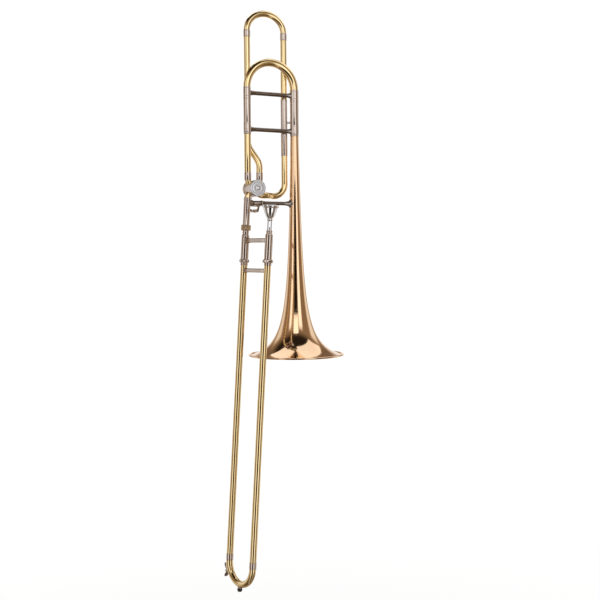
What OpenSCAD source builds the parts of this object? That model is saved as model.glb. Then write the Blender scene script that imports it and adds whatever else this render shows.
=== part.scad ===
// Tenor trombone with a rotary valve attachment, standing bell down with the hand slide closed.
// The origin is the centre of the bell's mouth and +Z runs up the bell section.
// The bell is at x = 0, the neckpipe side at -X, and the valve's linkage at +Y.
// The hand slide hangs below the neckpipe on its own axis, which leans away from the bell.

/* [Bell] */
// Diameter of the bell over its rolled rim
bell_d = 216; // [205:1:225]
// Length from the mouth to the end of the stem
bell_len = 512; // [505:1:515]
// Thickness of the bell's sheet
bell_wall = 0.8; // [0.6:0.1:1]
// Radius of the rolled rim's bead
rim_bead_r = 2.2; // [1.6:0.1:2.6]

/* [Main tuning slide] */
// Distance between the bell's axis and the main leg
main_spacing = 114.3; // [112:0.1:117]
// Outer radius of the main leg tube
main_leg_r = 7.2; // [7:0.1:7.3]
// Outer radius of the inner leg on the neckpipe side
neck_leg_r = 7.55; // [7.4:0.05:7.6]
// Outer radius of the inner leg on the bell side
bell_leg_r = 9.2; // [9.1:0.05:9.3]
// Height of the ferrules' lower edge
main_ferrule_z = 490; // [488:1:492]
// Height of the split between the fixed sleeves and the tuning slide
main_split_z = 568; // [564:1:572]
// Height where the bow starts to bend
main_bow_z = 592; // [588:1:596]

/* [Valve] */
// Height of the rotor's axis
valve_z = 371.5; // [370:0.5:373]
// Distance from the rotor's axis to each upright port
port_offset = 13.95; // [13.8:0.05:14.2]
// Outer radius of the valve casing
casing_r = 18.2; // [18:0.1:18.6]
// Radius of the rotor
rotor_r = 16; // [15.8:0.1:16]
// Half of the casing's length
casing_half = 20; // [19.5:0.5:20.5]
// Bend radius of the port knuckles
knuckle_bend_r = 18; // [17.5:0.5:18.5]
// Outer radius of the knuckles
knuckle_r = 7; // [6.9:0.1:7.1]
// Turn of the rotor from one stop to the other
rotor_turn = 90; // [84:1:92]

/* [Attachment tubing] */
// Distance between the two attachment legs
f_spacing = 88.5; // [86:0.5:90]
// Distance of the left attachment leg from the bell's axis
f_left_x = -106.3; // [-108:0.1:-105]
// Distance of the attachment legs behind the bell's plane
f_behind = 16.1; // [16:0.1:17]
// Outer radius of the attachment's sliding legs
f_leg_r = 6.95; // [6.8:0.05:7]
// Height of the lower edge of the bow's ferrules
f_ferrule_z = 704; // [696:1:710]
// Rise of the bow above its ferrules, along the middle of the tube
f_bow_rise = 39.5; // [37:0.5:44]

/* [Hand slide] */
// Distance between the two slide tubes
slide_spacing = 84.5; // [82:0.5:87]
// Lean of the slide's axis away from the bell section
slide_tilt = 3.67; // [3:0.01:4]
// Turn of the slide's plane from the bell's plane
slide_turn = 76.9; // [72:0.1:85]
// Outer radius of the inner tubes
inner_tube_r = 6.9; // [6.8:0.05:6.95]
// Outer radius of the stockings at the tubes' lower ends
stocking_r = 7; // [6.96:0.01:7]
// Bore radius of the outer tubes
outer_bore_r = 7.06; // [7.05:0.01:7.1]
// Outer radius of the outer tubes
outer_tube_r = 7.35; // [7.3:0.05:7.5]
// Outer radius of the two barrels
barrel_r = 8.5; // [8.4:0.1:8.6]
// Length of the stockings
stocking_len = 110; // [80:5:130]

/* [Mouthpiece] */
// Outer diameter of the rim
mouthpiece_rim_d = 36.4; // [36:0.1:39]
// Whole length
mouthpiece_len = 84; // [82:0.5:85]
// Length of shank inside the receiver
shank_depth = 29.5; // [28:0.5:30]

/* [Hidden] */
$fn = 64;

// colours
yellow_brass = "#c9a24b";
gold_brass = "#d0935a";
nickel_silver = "#b7a8a0";
silver = "#cfd0d2";
steel = "#9a9a9c";
rubber = "#1c1c1c";
cork = "#b98d5a";

// fits
running_gap = 0.05;    // radial clearance of a sliding or turning fit
clear_gap = 0.3;       // clearance between parts that only pass each other
tube_wall = 0.4;       // wall of the tubing
brace_r = 4.6;         // outer radius of the braces
brace_wall = 1;        // wall of the hollow braces
cut_over = 1;          // how far a cutting shape runs past the face that it cuts
cutter_half = 20;      // half the length of a cutter that runs right through a brace

// heights along the bell section
bow_overlap = 5;       // length of a bow inside its ferrule
sleeve_base_z = main_ferrule_z + 6;
ferrule_len = 25;
upper_brace_z = 580;
lower_brace_z = 501;
valve_ferrule_z = 390;
valve_ferrule_len = 17;
bell_brace_z = 340.5;
f_sleeve_top_z = 573;
f_left_sleeve_z = 490;
f_right_sleeve_z = 447.5;
f_ferrule_len = 15;
f_leg_reach = 76;      // length of a sliding leg inside its sleeve
f_stay_z = 521.5;

// distances below the pivot along the slide's axis
slide_pivot_z = 375;
neck_top = -23;
nut_top = -83;
nut_base = -95.6;
barrel_top = -104.4;
left_brace_at = -117.3;
outer_top = -150;
barrel_base = -161;
ring_top = -158;
ring_base = -165.6;
band_top = -166.4;
right_brace_at = -182.2;
inner_base = -799;
crook_ferrule_top = -803.8;
crook_at = -818;

valve_x = -main_spacing + port_offset;
casing_bore_r = rotor_r + running_gap;
f_right_x = f_left_x + f_spacing;

// ---- formulas ----

// outer radius of the bell at a height above its mouth: a stem that swells into a flare
function bell_r(z) = 5 - 0.0047 * z + 2754.6 / pow(z + 30.475, 0.9634);
function bell_slope(z) = (bell_r(z + 0.01) - bell_r(z)) / 0.01;
function bell_inner_r(z) = bell_r(z) - bell_wall * sqrt(1 + pow(bell_slope(z), 2));
function smooth(x) = let (k = min(max(x, 0), 1)) k * k * (3 - 2 * k);
function mix(a, b, k) = a + (b - a) * k;
function unit(v) = v / norm(v);
function cross2(a, b) = a[0] * b[1] - a[1] * b[0];
function from_angle(a) = [cos(a), sin(a)];
function bezier(a, b, c, d, k) =
    a * pow(1 - k, 3) + 3 * b * k * pow(1 - k, 2) + 3 * c * k * k * (1 - k) + d * pow(k, 3);

// ---- shared shapes ----

module sleeve(r_out, r_in, z0, z1) {
    translate([0, 0, z0]) difference() {
        cylinder(r = r_out, h = z1 - z0);
        translate([0, 0, -cut_over]) cylinder(r = r_in, h = z1 - z0 + 2 * cut_over);
    }
}

// children drawn about the neck side slide tube; the mouthpiece side is at local x = slide_spacing
module on_slide() {
    translate([-main_spacing, 0, slide_pivot_z])
        rotate([0, slide_tilt, 0]) rotate([0, 0, -slide_turn]) children();
}

module on_mouthpiece_side() {
    on_slide() translate([slide_spacing, 0, 0]) children();
}

module on_both_slide_tubes() {
    on_slide() children();
    on_mouthpiece_side() children();
}

// children drawn in a plane seen from the front: local x is X, local y is Z, local z is -Y
module facing_front() {
    rotate([90, 0, 0]) children();
}

module on_valve() {
    translate([valve_x, 0, valve_z]) facing_front() children();
}

// a round hollow bar along X between two tubes, with a wide foot at each end
module cross_brace(x0, x1, r, foot_r, foot_len) {
    translate([x0, 0, 0]) rotate([0, 90, 0]) difference() {
        union() {
            cylinder(r = r, h = x1 - x0);
            cylinder(r1 = foot_r, r2 = r, h = foot_len);
            translate([0, 0, x1 - x0 - foot_len]) cylinder(r1 = r, r2 = foot_r, h = foot_len);
        }
        translate([0, 0, -cut_over]) cylinder(r = r - brace_wall, h = x1 - x0 + 2 * cut_over);
    }
}

// a hollow tube along a path; each row of the path is [point, outer radius, inner radius]
module swept_tube(path, sides = 24) {
    last = len(path) - 1;
    function heading(i) = unit(path[min(i + 1, last)][0] - path[max(i - 1, 0)][0]);
    function ring(i, r) =
        let (along = heading(i), side = unit(cross([0, 1, 0], along)), up = cross(along, side))
        [for (k = [0 : sides - 1])
            path[i][0] + r * (cos(360 * k / sides) * side + sin(360 * k / sides) * up)];
    points = concat([for (i = [0 : last]) each ring(i, path[i][1])],
                    [for (i = [0 : last]) each ring(i, path[i][2])]);
    inner = sides * (last + 1);
    function next(k) = (k + 1) % sides;
    faces = concat(
        [for (i = [0 : last - 1], k = [0 : sides - 1])
            [i * sides + k, (i + 1) * sides + k, (i + 1) * sides + next(k), i * sides + next(k)]],
        [for (i = [0 : last - 1], k = [0 : sides - 1])
            [inner + i * sides + k, inner + i * sides + next(k),
             inner + (i + 1) * sides + next(k), inner + (i + 1) * sides + k]],
        [for (k = [0 : sides - 1]) [k, next(k), inner + next(k), inner + k]],
        [for (k = [0 : sides - 1]) let (o = last * sides)
            [o + k, inner + o + k, inner + o + next(k), o + next(k)]]);
    polyhedron(points = points, faces = faces, convexity = 6);
}

// ---- bell ----

module bell() {
    steps = 44;
    first_z = 0.9;
    heights = [for (i = [0 : steps]) first_z + (bell_len - first_z) * pow(i / steps, 2.2)];
    color(gold_brass) {
        rotate_extrude($fn = 96)
            polygon(concat([for (z = heights) [bell_r(z), z]],
                           [for (i = [steps : -1 : 0]) [bell_inner_r(heights[i]), heights[i]]]));
        rotate_extrude($fn = 96)
            translate([bell_d / 2 - rim_bead_r, rim_bead_r]) circle(r = rim_bead_r, $fn = 24);
    }
}

module bell_ferrule() {
    sleeve_r = bell_leg_r + running_gap + tube_wall;
    color(nickel_silver) {
        sleeve(sleeve_r + 0.3, bell_r(main_ferrule_z) + 0.01, main_ferrule_z, sleeve_base_z);
        sleeve(sleeve_r + 0.3, sleeve_r, sleeve_base_z, main_ferrule_z + ferrule_len);
    }
}

module bell_side_sleeve() {
    bore = bell_leg_r + running_gap;
    color(nickel_silver) sleeve(bore + tube_wall, bore, sleeve_base_z, main_split_z - 0.1);
}

// ---- neckpipe side of the tuning section ----

module neck_ferrule() {
    sleeve_r = neck_leg_r + running_gap + tube_wall;
    color(nickel_silver) translate([-main_spacing, 0, 0]) {
        sleeve(sleeve_r + 0.25, main_leg_r, main_ferrule_z, sleeve_base_z);
        sleeve(sleeve_r + 0.25, sleeve_r, sleeve_base_z, main_ferrule_z + ferrule_len);
    }
}

module neck_side_sleeve() {
    bore = neck_leg_r + running_gap;
    color(nickel_silver) translate([-main_spacing, 0, 0])
        sleeve(bore + tube_wall, bore, sleeve_base_z, main_split_z - 0.1);
}

module main_brace(z, r_neck, r_bell) {
    color(nickel_silver) difference() {
        translate([0, 0, z]) cross_brace(-main_spacing, 0, brace_r, 6.2, 15);
        translate([-main_spacing, 0, z - cutter_half]) cylinder(r = r_neck, h = 2 * cutter_half);
        translate([0, 0, z - cutter_half]) cylinder(r = r_bell, h = 2 * cutter_half);
    }
}

module lower_main_brace() {
    main_brace(lower_brace_z, neck_leg_r + running_gap + tube_wall + 0.25,
               bell_leg_r + running_gap + tube_wall + 0.3);
}

module main_leg_tube() {
    color(yellow_brass) translate([-main_spacing, 0, 0])
        sleeve(main_leg_r, main_leg_r - tube_wall, valve_ferrule_z + 4, sleeve_base_z - 0.2);
}

// ---- main tuning slide ----

module main_bow() {
    turn_steps = 30;
    r_left = neck_leg_r + 0.2;
    r_right = bell_leg_r + 0.15;
    function bow_point(a) = [-main_spacing / 2 * (1 + cos(a)), 0, main_bow_z + main_spacing / 2 * sin(a)];
    function bow_row(p, k) = [p, mix(r_left, r_right, k), mix(r_left, r_right, k) - 0.6];
    path = concat([bow_row(bow_point(0) - [0, 0, bow_overlap], 0)],
                  [for (i = [0 : turn_steps]) bow_row(bow_point(180 * i / turn_steps), i / turn_steps)],
                  [bow_row(bow_point(180) - [0, 0, bow_overlap], 1)]);
    color(yellow_brass) swept_tube(path);
}

module main_bow_ferrules() {
    bow_end_z = main_bow_z - bow_overlap;
    color(nickel_silver) {
        translate([-main_spacing, 0, 0]) {
            sleeve(neck_leg_r + 0.65, neck_leg_r, main_split_z, bow_end_z);
            sleeve(neck_leg_r + 0.65, neck_leg_r + 0.2, bow_end_z, main_bow_z + 0.8);
        }
        sleeve(bell_leg_r + 0.65, bell_leg_r, main_split_z, bow_end_z);
        sleeve(bell_leg_r + 0.65, bell_leg_r + 0.15, bow_end_z, main_bow_z + 0.8);
    }
}

module main_inner_legs() {
    top_z = main_bow_z - bow_overlap - 0.1;
    color(nickel_silver) {
        translate([-main_spacing, 0, 0])
            sleeve(neck_leg_r, neck_leg_r - tube_wall, sleeve_base_z + 1, top_z);
        sleeve(bell_leg_r, bell_leg_r - tube_wall, bell_len + 1, top_z);
    }
}

module upper_main_brace() {
    main_brace(upper_brace_z, neck_leg_r + 0.65, bell_leg_r + 0.65);
}

// ---- rotary valve ----

// a port leaves the casing along angle out, then turns to meet a tube through point p with heading h
function port_start(out, turn, p, h) =
    let (s = sign(turn),
         bend = knuckle_bend_r * s * [sin(out + turn) - sin(out), cos(out) - cos(out + turn)])
    cross2(p - bend, h) / cross2(from_angle(out), h);

neck_heading = -90 - slide_tilt;
neck_point = [-main_spacing - valve_x, slide_pivot_z - valve_z];
side_start = port_start(45, 45, [port_offset, 0], [0, 1]);
neck_start = port_start(225, neck_heading - 225 + 360, neck_point, from_angle(neck_heading));
lower_port_drop = side_start * sin(45) + knuckle_bend_r * (1 - sin(45));
lower_port_run = side_start * cos(45) + knuckle_bend_r * sin(45);

module port_bend(out, turn, start, r, wall) {
    turn_side = sign(turn);
    translate(start * from_angle(out) + knuckle_bend_r * turn_side * from_angle(out + 90))
        rotate([0, 0, turn_side > 0 ? out - 90 : out + 90 + turn])
            rotate_extrude(angle = abs(turn)) translate([knuckle_bend_r, 0]) difference() {
                circle(r = r, $fn = 40);
                if (wall > 0) circle(r = r - wall, $fn = 40);
            }
}

module all_ports(r, wall) {
    port_bend(45, 45, side_start, r, wall);
    port_bend(135, -45, side_start, r, wall);
    port_bend(-45, 45, side_start, r, wall);
    port_bend(225, neck_heading - 225 + 360, neck_start, r, wall);
}

module port_holes(r) {
    for (a = [45 : 90 : 315]) rotate([0, 0, a]) rotate([0, 90, 0]) cylinder(r = r, h = 2 * casing_r);
}

spindle_r = 4;
rear_wall = 3;
boss_len = 2;

module valve_casing() {
    color(nickel_silver) on_valve() difference() {
        union() {
            translate([0, 0, -casing_half]) cylinder(r = casing_r, h = 2 * casing_half);
            translate([0, 0, -casing_half - boss_len]) cylinder(r = 8, h = boss_len + cut_over);
        }
        translate([0, 0, -casing_half + rear_wall]) cylinder(r = casing_bore_r, h = 2 * casing_half);
        translate([0, 0, -casing_half - 4]) cylinder(r = spindle_r + running_gap, h = 10);
        port_holes(6.4);
    }
}

module valve_knuckles() {
    color(yellow_brass) on_valve() difference() {
        all_ports(knuckle_r, tube_wall + 0.2);
        translate([0, 0, -casing_half]) cylinder(r = casing_r, h = 2 * casing_half);
    }
}

module valve_ferrules() {
    color(nickel_silver) for (x = [-port_offset, port_offset]) translate([valve_x + x, 0, 0]) {
        sleeve(main_leg_r + 0.4, knuckle_r + 0.25, valve_ferrule_z, valve_ferrule_z + 4);
        sleeve(main_leg_r + 0.4, main_leg_r, valve_ferrule_z + 4, valve_ferrule_z + valve_ferrule_len);
    }
}

module bearing_plate() {
    plate_len = 2.9;
    color(nickel_silver) on_valve() difference() {
        translate([0, 0, casing_half - plate_len]) cylinder(r = casing_bore_r, h = plate_len);
        translate([0, 0, casing_half - 4]) cylinder(r = spindle_r + running_gap, h = 8);
    }
}

module valve_cap() {
    cap_len = 5;
    color(silver) on_valve() difference() {
        union() {
            translate([0, 0, casing_half + 0.05]) cylinder(r = casing_r - 0.2, h = cap_len);
            translate([0, 0, casing_half + cap_len]) cylinder(r1 = 4.2, r2 = 3.2, h = 1.8);
        }
        translate([0, 0, casing_half - 1]) cylinder(r = casing_bore_r, h = 2.6);
    }
}

module rotor() {
    half = casing_half - rear_wall - 0.1;
    passage_r = 6.3;
    color(nickel_silver) on_valve() difference() {
        union() {
            translate([0, 0, -half]) cylinder(r = rotor_r, h = 2 * half);
            translate([0, 0, -casing_half - 7]) cylinder(r = spindle_r, h = 2 * casing_half + 8);
        }
        for (side = [0, 180]) rotate([0, 0, side]) translate([-rotor_r * sqrt(2), 0])
            rotate([0, 0, -50]) rotate_extrude(angle = 100)
                translate([rotor_r, 0]) circle(r = passage_r, $fn = 40);
    }
}

link_r = 8;            // distance of the linkage pin from the rotor's axis
link_pin_r = 1.5;
stop_tab_r = 15;
stop_post_turn = rotor_turn / 2 + 26;   // turn of each bumper from the middle of the tab's swing

module stop_arm() {
    front = -casing_half - boss_len - 0.5;
    arm_wide = 5;
    arm_thick = 4;
    color(nickel_silver) on_valve() rotate([0, 0, 45]) {
        translate([0, 0, front - arm_thick - 0.2]) linear_extrude(arm_thick) difference() {
            union() {
                circle(r = 6.8);
                translate([-stop_tab_r, -arm_wide / 2]) square([stop_tab_r + link_r + 2, arm_wide]);
            }
            circle(r = spindle_r);
        }
        // pin for the linkage, with a head that keeps the rod on
        translate([link_r, 0, front]) rotate([180, 0, 0]) rotate_extrude()
            polygon([[0, 2], [link_pin_r, 2], [link_pin_r, 11.2], [2.6, 11.2], [2.6, 12.2], [0, 12.2]]);
    }
}

module stop_plate() {
    color(nickel_silver) on_valve() translate([0, 0, -casing_half - 2])
        rotate([0, 0, 100]) rotate_extrude(angle = 160) translate([9, 0]) square([8.4, 2]);
}

module stop_bumpers() {
    color(rubber) on_valve() for (side = [-1, 1])
        rotate([0, 0, 180 + side * stop_post_turn]) translate([13, 0, -casing_half - 7.5])
            cylinder(r = 3, h = 5.4);
}

// ---- thumb lever and its linkage ----

lever_y = 9.5;         // hinge axis of the thumb lever
lever_z = 336.5;
lever_x0 = -106;
lever_x1 = -83;
lever_pin_r = 1.6;
link_arm = 22;         // distance of the linkage ball from the lever's hinge
link_rest = 15;        // angle of the linkage arm above the level at rest
link_x = valve_x + 6.85;
link_y = lever_y + link_arm * cos(link_rest);
link_z = lever_z + link_arm * sin(link_rest);

// children drawn across X about the lever's hinge: local x is Y, local y is Z, local z is X
module about_lever(x) {
    translate([x, lever_y, lever_z]) rotate([90, 0, 90]) children();
}

module lever_saddle() {
    lug = 1.8;
    color(nickel_silver) difference() {
        union() for (x = [lever_x0 - lug - 0.1, lever_x1 + 0.1]) {
            about_lever(x) cylinder(r = 3.6, h = lug);
            translate([x, 0, bell_brace_z - 5]) cube([lug, lever_y, 5]);
            translate([x, 0, bell_brace_z]) rotate([0, 90, 0]) cylinder(r = 6, h = lug);
        }
        about_lever(lever_x0 - 10) cylinder(r = lever_pin_r, h = 50);
        translate([lever_x0 - 10, 0, bell_brace_z]) rotate([0, 90, 0]) cylinder(r = brace_r, h = 50);
    }
}

module lever_pin() {
    color(steel) about_lever(lever_x0 - 3) {
        cylinder(r = lever_pin_r, h = lever_x1 - lever_x0 + 6);
        cylinder(r = 2.6, h = 1);
    }
}

module lever_spring() {
    color(steel) about_lever(lever_x0 + 1) sleeve(3.4, lever_pin_r + 0.6, 0, 7);
}

// the pad is a shallow trough that the thumb rests in, hung from an arm at the hinge's right end
module thumb_lever() {
    pad_y = 12;
    pad_len = 22;
    pad_r = 11;
    pad_x = -94.5;
    pad_z = 331.5;
    color(nickel_silver) difference() {
        union() {
            about_lever(lever_x0 + 9) cylinder(r = 3.6, h = lever_x1 - lever_x0 - 9 - 0.1);
            // arm to the linkage ball
            about_lever(link_x - 1.5) rotate([0, 0, link_rest]) {
                translate([0, -2, 0]) cube([link_arm, 4, 3]);
                translate([link_arm, 0]) cylinder(r = 2.6, h = 3);
            }
            // arm that drops to the pad
            about_lever(lever_x1 - 4.1) linear_extrude(4)
                polygon([[-2, -2], [2, -2], [6, -12], [24.5, -12], [24.5, -16], [2.5, -16]]);
            // pad
            translate([pad_x, lever_y + 2.5, pad_z]) rotate([-90, 0, 0]) linear_extrude(pad_len)
                intersection() {
                    difference() {
                        circle(r = pad_r);
                        circle(r = pad_r - 1.6);
                    }
                    translate([-pad_r, 4]) square([2 * pad_r, pad_r]);
                }
        }
        about_lever(lever_x0 - 5) cylinder(r = lever_pin_r + running_gap, h = 50);
    }
}

module linkage_rod() {
    eye_z = valve_z + link_r * sin(45);
    eye_y = casing_half + boss_len + 0.5 + 4.2 + 3.6;
    color(nickel_silver) difference() {
        union() {
            translate([link_x, link_y, link_z + 3]) cylinder(r = 1.5, h = eye_z - link_z - 6);
            // lower fork on the lever's ball
            translate([link_x - 3.6, link_y, link_z]) rotate([0, 90, 0]) cylinder(r = 2.6, h = 1.8);
            translate([link_x + 1.8, link_y, link_z]) rotate([0, 90, 0]) cylinder(r = 2.6, h = 1.8);
            translate([link_x - 3.6, link_y - 2.6, link_z]) cube([1.8, 5.2, 5.5]);
            translate([link_x + 1.8, link_y - 2.6, link_z]) cube([1.8, 5.2, 5.5]);
            translate([link_x - 3.6, link_y - 2.6, link_z + 3.7]) cube([7.2, 5.2, 2]);
            // upper eye, slotted along X for the swing of the pin
            translate([link_x - 5.2, link_y - 1.5, eye_z - 3.6]) cube([10.4, 3, 7.2]);
        }
        translate([link_x - 3.2, link_y - 4, eye_z - link_pin_r - clear_gap])
            cube([6.4, 8, 2 * link_pin_r + 2 * clear_gap]);
    }
}

// ---- neckpipe and bell brace ----

neckpipe_r = 7.5;
neck_collar_len = 6;
tenon_r = 6.95;
thread_r = 8.3;

module neckpipe() {
    color(nickel_silver) on_slide() {
        sleeve(neckpipe_r, knuckle_r, nut_base + 3, neck_top - neck_collar_len);
        sleeve(thread_r, neckpipe_r, nut_base + 3, nut_top - 1.5);
        sleeve(neckpipe_r + 0.4, knuckle_r + 0.25, neck_top - neck_collar_len, neck_top);
    }
}

module bell_brace() {
    neck_x = -main_spacing - (slide_pivot_z - bell_brace_z) * tan(slide_tilt);
    foot_len = 7;
    plate_r = 9;
    stem_cut = 12;
    color(nickel_silver) difference() {
        union() {
            translate([neck_x, 0, bell_brace_z]) rotate([0, 90, 0]) {
                cylinder(r = brace_r, h = -neck_x);
                cylinder(r1 = 5.4, r2 = brace_r, h = foot_len);
            }
            translate([-bell_r(bell_brace_z) - 2.2, 0, bell_brace_z]) rotate([0, 90, 0])
                cylinder(r = plate_r, h = 6);
            translate([-bell_r(bell_brace_z) - 7, 0, bell_brace_z]) rotate([0, 90, 0])
                cylinder(r1 = brace_r, r2 = 7, h = 5);
        }
        on_slide() translate([0, 0, nut_top]) cylinder(r = neckpipe_r, h = 100);
        translate([neck_x, 0, bell_brace_z]) rotate([0, 90, 0])
            cylinder(r = brace_r - brace_wall, h = -neck_x);
        // the bell's stem, and all that lies behind it
        translate([0, 0, bell_brace_z - stem_cut])
            cylinder(r1 = bell_r(bell_brace_z - stem_cut) + 0.02, r2 = bell_r(bell_brace_z + stem_cut) + 0.02,
                     h = 2 * stem_cut);
        translate([-8, 0, bell_brace_z - cutter_half]) cylinder(r = 8, h = 2 * cutter_half);
    }
}

// ---- attachment tubing ----

module upper_branch() {
    steps = 18;
    low_z = valve_ferrule_z + 4;
    high_z = f_left_sleeve_z + 6;
    swing_top = 475;
    swing_base = 420;
    function branch_point(z) = let (k = smooth((swing_top - z) / (swing_top - swing_base)))
        [mix(f_left_x, valve_x + port_offset, k), mix(f_behind, 0, k), z];
    heights = concat([low_z], [for (i = [0 : steps]) mix(swing_base, swing_top, i / steps)], [high_z]);
    color(yellow_brass)
        swept_tube([for (z = heights) [branch_point(z), f_leg_r, f_leg_r - tube_wall]]);
}

module lower_branch() {
    steps = 12;
    bend_r = 28;
    tube_z = valve_z - lower_port_drop;
    start_x = valve_x + lower_port_run;
    end_x = f_right_x - bend_r;
    function run_point(k) = [mix(start_x, end_x, k), f_behind * smooth((k - 0.1) / 0.9), tube_z];
    function bend_point(a) = [end_x + bend_r * sin(a), f_behind, tube_z + bend_r * (1 - cos(a))];
    points = concat([for (i = [0 : steps]) run_point(i / steps)],
                    [for (i = [1 : steps]) bend_point(90 * i / steps)],
                    [[f_right_x, f_behind, f_right_sleeve_z + 6]]);
    color(yellow_brass) swept_tube([for (p = points) [p, f_leg_r, f_leg_r - tube_wall]]);
}

f_sleeve_bore = f_leg_r + running_gap;

module f_sleeve(x, z0) {
    color(nickel_silver) translate([x, f_behind, 0])
        sleeve(f_sleeve_bore + tube_wall, f_sleeve_bore, z0, f_sleeve_top_z);
}

module f_sleeve_left() { f_sleeve(f_left_x, f_left_sleeve_z); }

module f_sleeve_right() { f_sleeve(f_right_x, f_right_sleeve_z); }

// a short bar between two upright tubes
module tube_stay(p, q, z, r) {
    translate([p[0], p[1], z]) rotate([0, 0, atan2(q[1] - p[1], q[0] - p[0])]) rotate([0, 90, 0])
        cylinder(r = r, h = norm(q - p));
}

module f_stays() {
    sleeve_r = f_sleeve_bore + tube_wall;
    color(nickel_silver) difference() {
        union() {
            tube_stay([f_right_x, f_behind], [0, 0], f_stay_z, 2.2);
            tube_stay([f_left_x, f_behind], [-main_spacing, 0], f_stay_z + 18, 2.2);
        }
        for (x = [f_left_x, f_right_x]) translate([x, f_behind, f_stay_z - 10])
            cylinder(r = sleeve_r, h = 50);
        translate([-main_spacing, 0, f_stay_z - 10])
            cylinder(r = neck_leg_r + running_gap + tube_wall, h = 50);
        translate([0, 0, f_stay_z - 10]) cylinder(r = bell_leg_r + running_gap + tube_wall, h = 50);
    }
}

module f_bow() {
    turn_steps = 30;
    mid_x = (f_left_x + f_right_x) / 2;
    bow_z = f_ferrule_z + f_ferrule_len;
    function bow_point(a) = [mid_x - f_spacing / 2 * cos(a), f_behind, bow_z + f_bow_rise * sin(a)];
    path = concat([bow_point(0) - [0, 0, bow_overlap]],
                  [for (i = [0 : turn_steps]) bow_point(180 * i / turn_steps)],
                  [bow_point(180) - [0, 0, bow_overlap]]);
    color(yellow_brass) swept_tube([for (p = path) [p, f_leg_r, f_leg_r - tube_wall]]);
}

module f_bow_ferrules() {
    color(nickel_silver) for (x = [f_left_x, f_right_x]) translate([x, f_behind, 0])
        sleeve(f_leg_r + 0.6, f_leg_r, f_ferrule_z, f_ferrule_z + f_ferrule_len + 0.5);
}

module f_legs() {
    top_z = f_ferrule_z + f_ferrule_len - bow_overlap - 0.1;
    color(yellow_brass) for (x = [f_left_x, f_right_x]) translate([x, f_behind, 0])
        sleeve(f_leg_r, f_leg_r - tube_wall, f_sleeve_top_z - f_leg_reach, top_z);
}

// ---- slide coupling ----

module coupling_nut() {
    nut_r = 10.9;
    chamfer = 1.6;
    color(nickel_silver) on_slide() difference() {
        rotate_extrude() polygon([[0, nut_base], [nut_r - chamfer, nut_base], [nut_r, nut_base + chamfer],
            [nut_r, nut_top - chamfer], [nut_r - chamfer, nut_top], [0, nut_top]]);
        translate([0, 0, nut_base + 2.6]) cylinder(r = thread_r + 0.1, h = 30);
        translate([0, 0, nut_base - 10]) cylinder(r = tenon_r + 0.1, h = 50);
    }
}

module slide_tenon() {
    color(nickel_silver) on_slide() sleeve(tenon_r, tenon_r - 0.6, barrel_top, nut_top + 20);
}

// ---- inner hand slide ----

module barrel() {
    collar_len = 8;
    sleeve(barrel_r, barrel_r - 0.6, barrel_base, barrel_top - collar_len);
    sleeve(barrel_r, inner_tube_r, barrel_top - collar_len, barrel_top - 1);
    sleeve(barrel_r - 0.5, inner_tube_r, barrel_top - 1, barrel_top);
}

module neck_barrel() {
    color(nickel_silver) on_slide() barrel();
}

module mouthpiece_barrel() {
    color(nickel_silver) on_mouthpiece_side() barrel();
}

module inner_tube() {
    sleeve(inner_tube_r, inner_tube_r - 0.35, inner_base + stocking_len, barrel_top - 0.2);
    sleeve(stocking_r, inner_tube_r - 0.35, inner_base, inner_base + stocking_len);
}

module neck_inner_tube() {
    color(silver) on_slide() inner_tube();
}

module mouthpiece_inner_tube() {
    color(silver) on_mouthpiece_side() inner_tube();
}

module barrel_corks() {
    color(cork) on_both_slide_tubes()
        sleeve(barrel_r - 0.6, inner_tube_r, outer_top + 0.4, outer_top + 4.4);
}

module neck_end_ring() {
    color(nickel_silver) on_slide() {
        sleeve(10.6, barrel_r, barrel_base, ring_top);
        sleeve(10.6, outer_tube_r + clear_gap, ring_base, barrel_base);
    }
}

module slide_brace(at, r, foot_r, cut_r) {
    difference() {
        translate([0, 0, at]) cross_brace(0, slide_spacing, r, foot_r, 17);
        for (x = [0, slide_spacing]) translate([x, 0, at - cutter_half])
            cylinder(r = cut_r, h = 2 * cutter_half);
    }
}

module left_hand_brace() {
    color(nickel_silver) on_slide() slide_brace(left_brace_at, 4.9, 7.2, barrel_r);
}

receiver_r = 6.4;
shank_r = 5.5;
shank_tip_r = 5;
mouthpiece_top = -42.4;
receiver_top = mouthpiece_top - mouthpiece_len + shank_depth;

module mouthpiece_receiver() {
    reach = shank_depth + 1;
    color(nickel_silver) on_mouthpiece_side() translate([0, 0, receiver_top - reach]) difference() {
        union() {
            cylinder(r = receiver_r, h = reach - 0.8);
            translate([0, 0, reach - 5]) cylinder(r = receiver_r, h = 5);
        }
        translate([0, 0, 1])
            cylinder(r1 = shank_tip_r + running_gap, r2 = shank_r + running_gap, h = shank_depth);
        translate([0, 0, reach - 0.01]) cylinder(r = shank_r + running_gap, h = 1);
        translate([0, 0, -cut_over]) cylinder(r = 4.6, h = 10);
    }
}

lug_turn = 18;         // width of the locking lug, in degrees
lock_turn = 30;        // turn of the lock ring from free to locked
lug_top = -161.5;
lug_base = -163.3;
lug_out_r = 10;
lug_sleeve_r = 8.2;    // sleeve on the outer tube that carries the lug

// a flat ring with a gap over an angle either side of local x, turned by mid
module gap_ring(r_out, r_in, mid, half) {
    reach = 2 * r_out;
    difference() {
        circle(r = r_out);
        circle(r = r_in);
        rotate(mid) polygon([[0, 0], reach * from_angle(-half), [reach, 0], reach * from_angle(half)]);
    }
}

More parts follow.
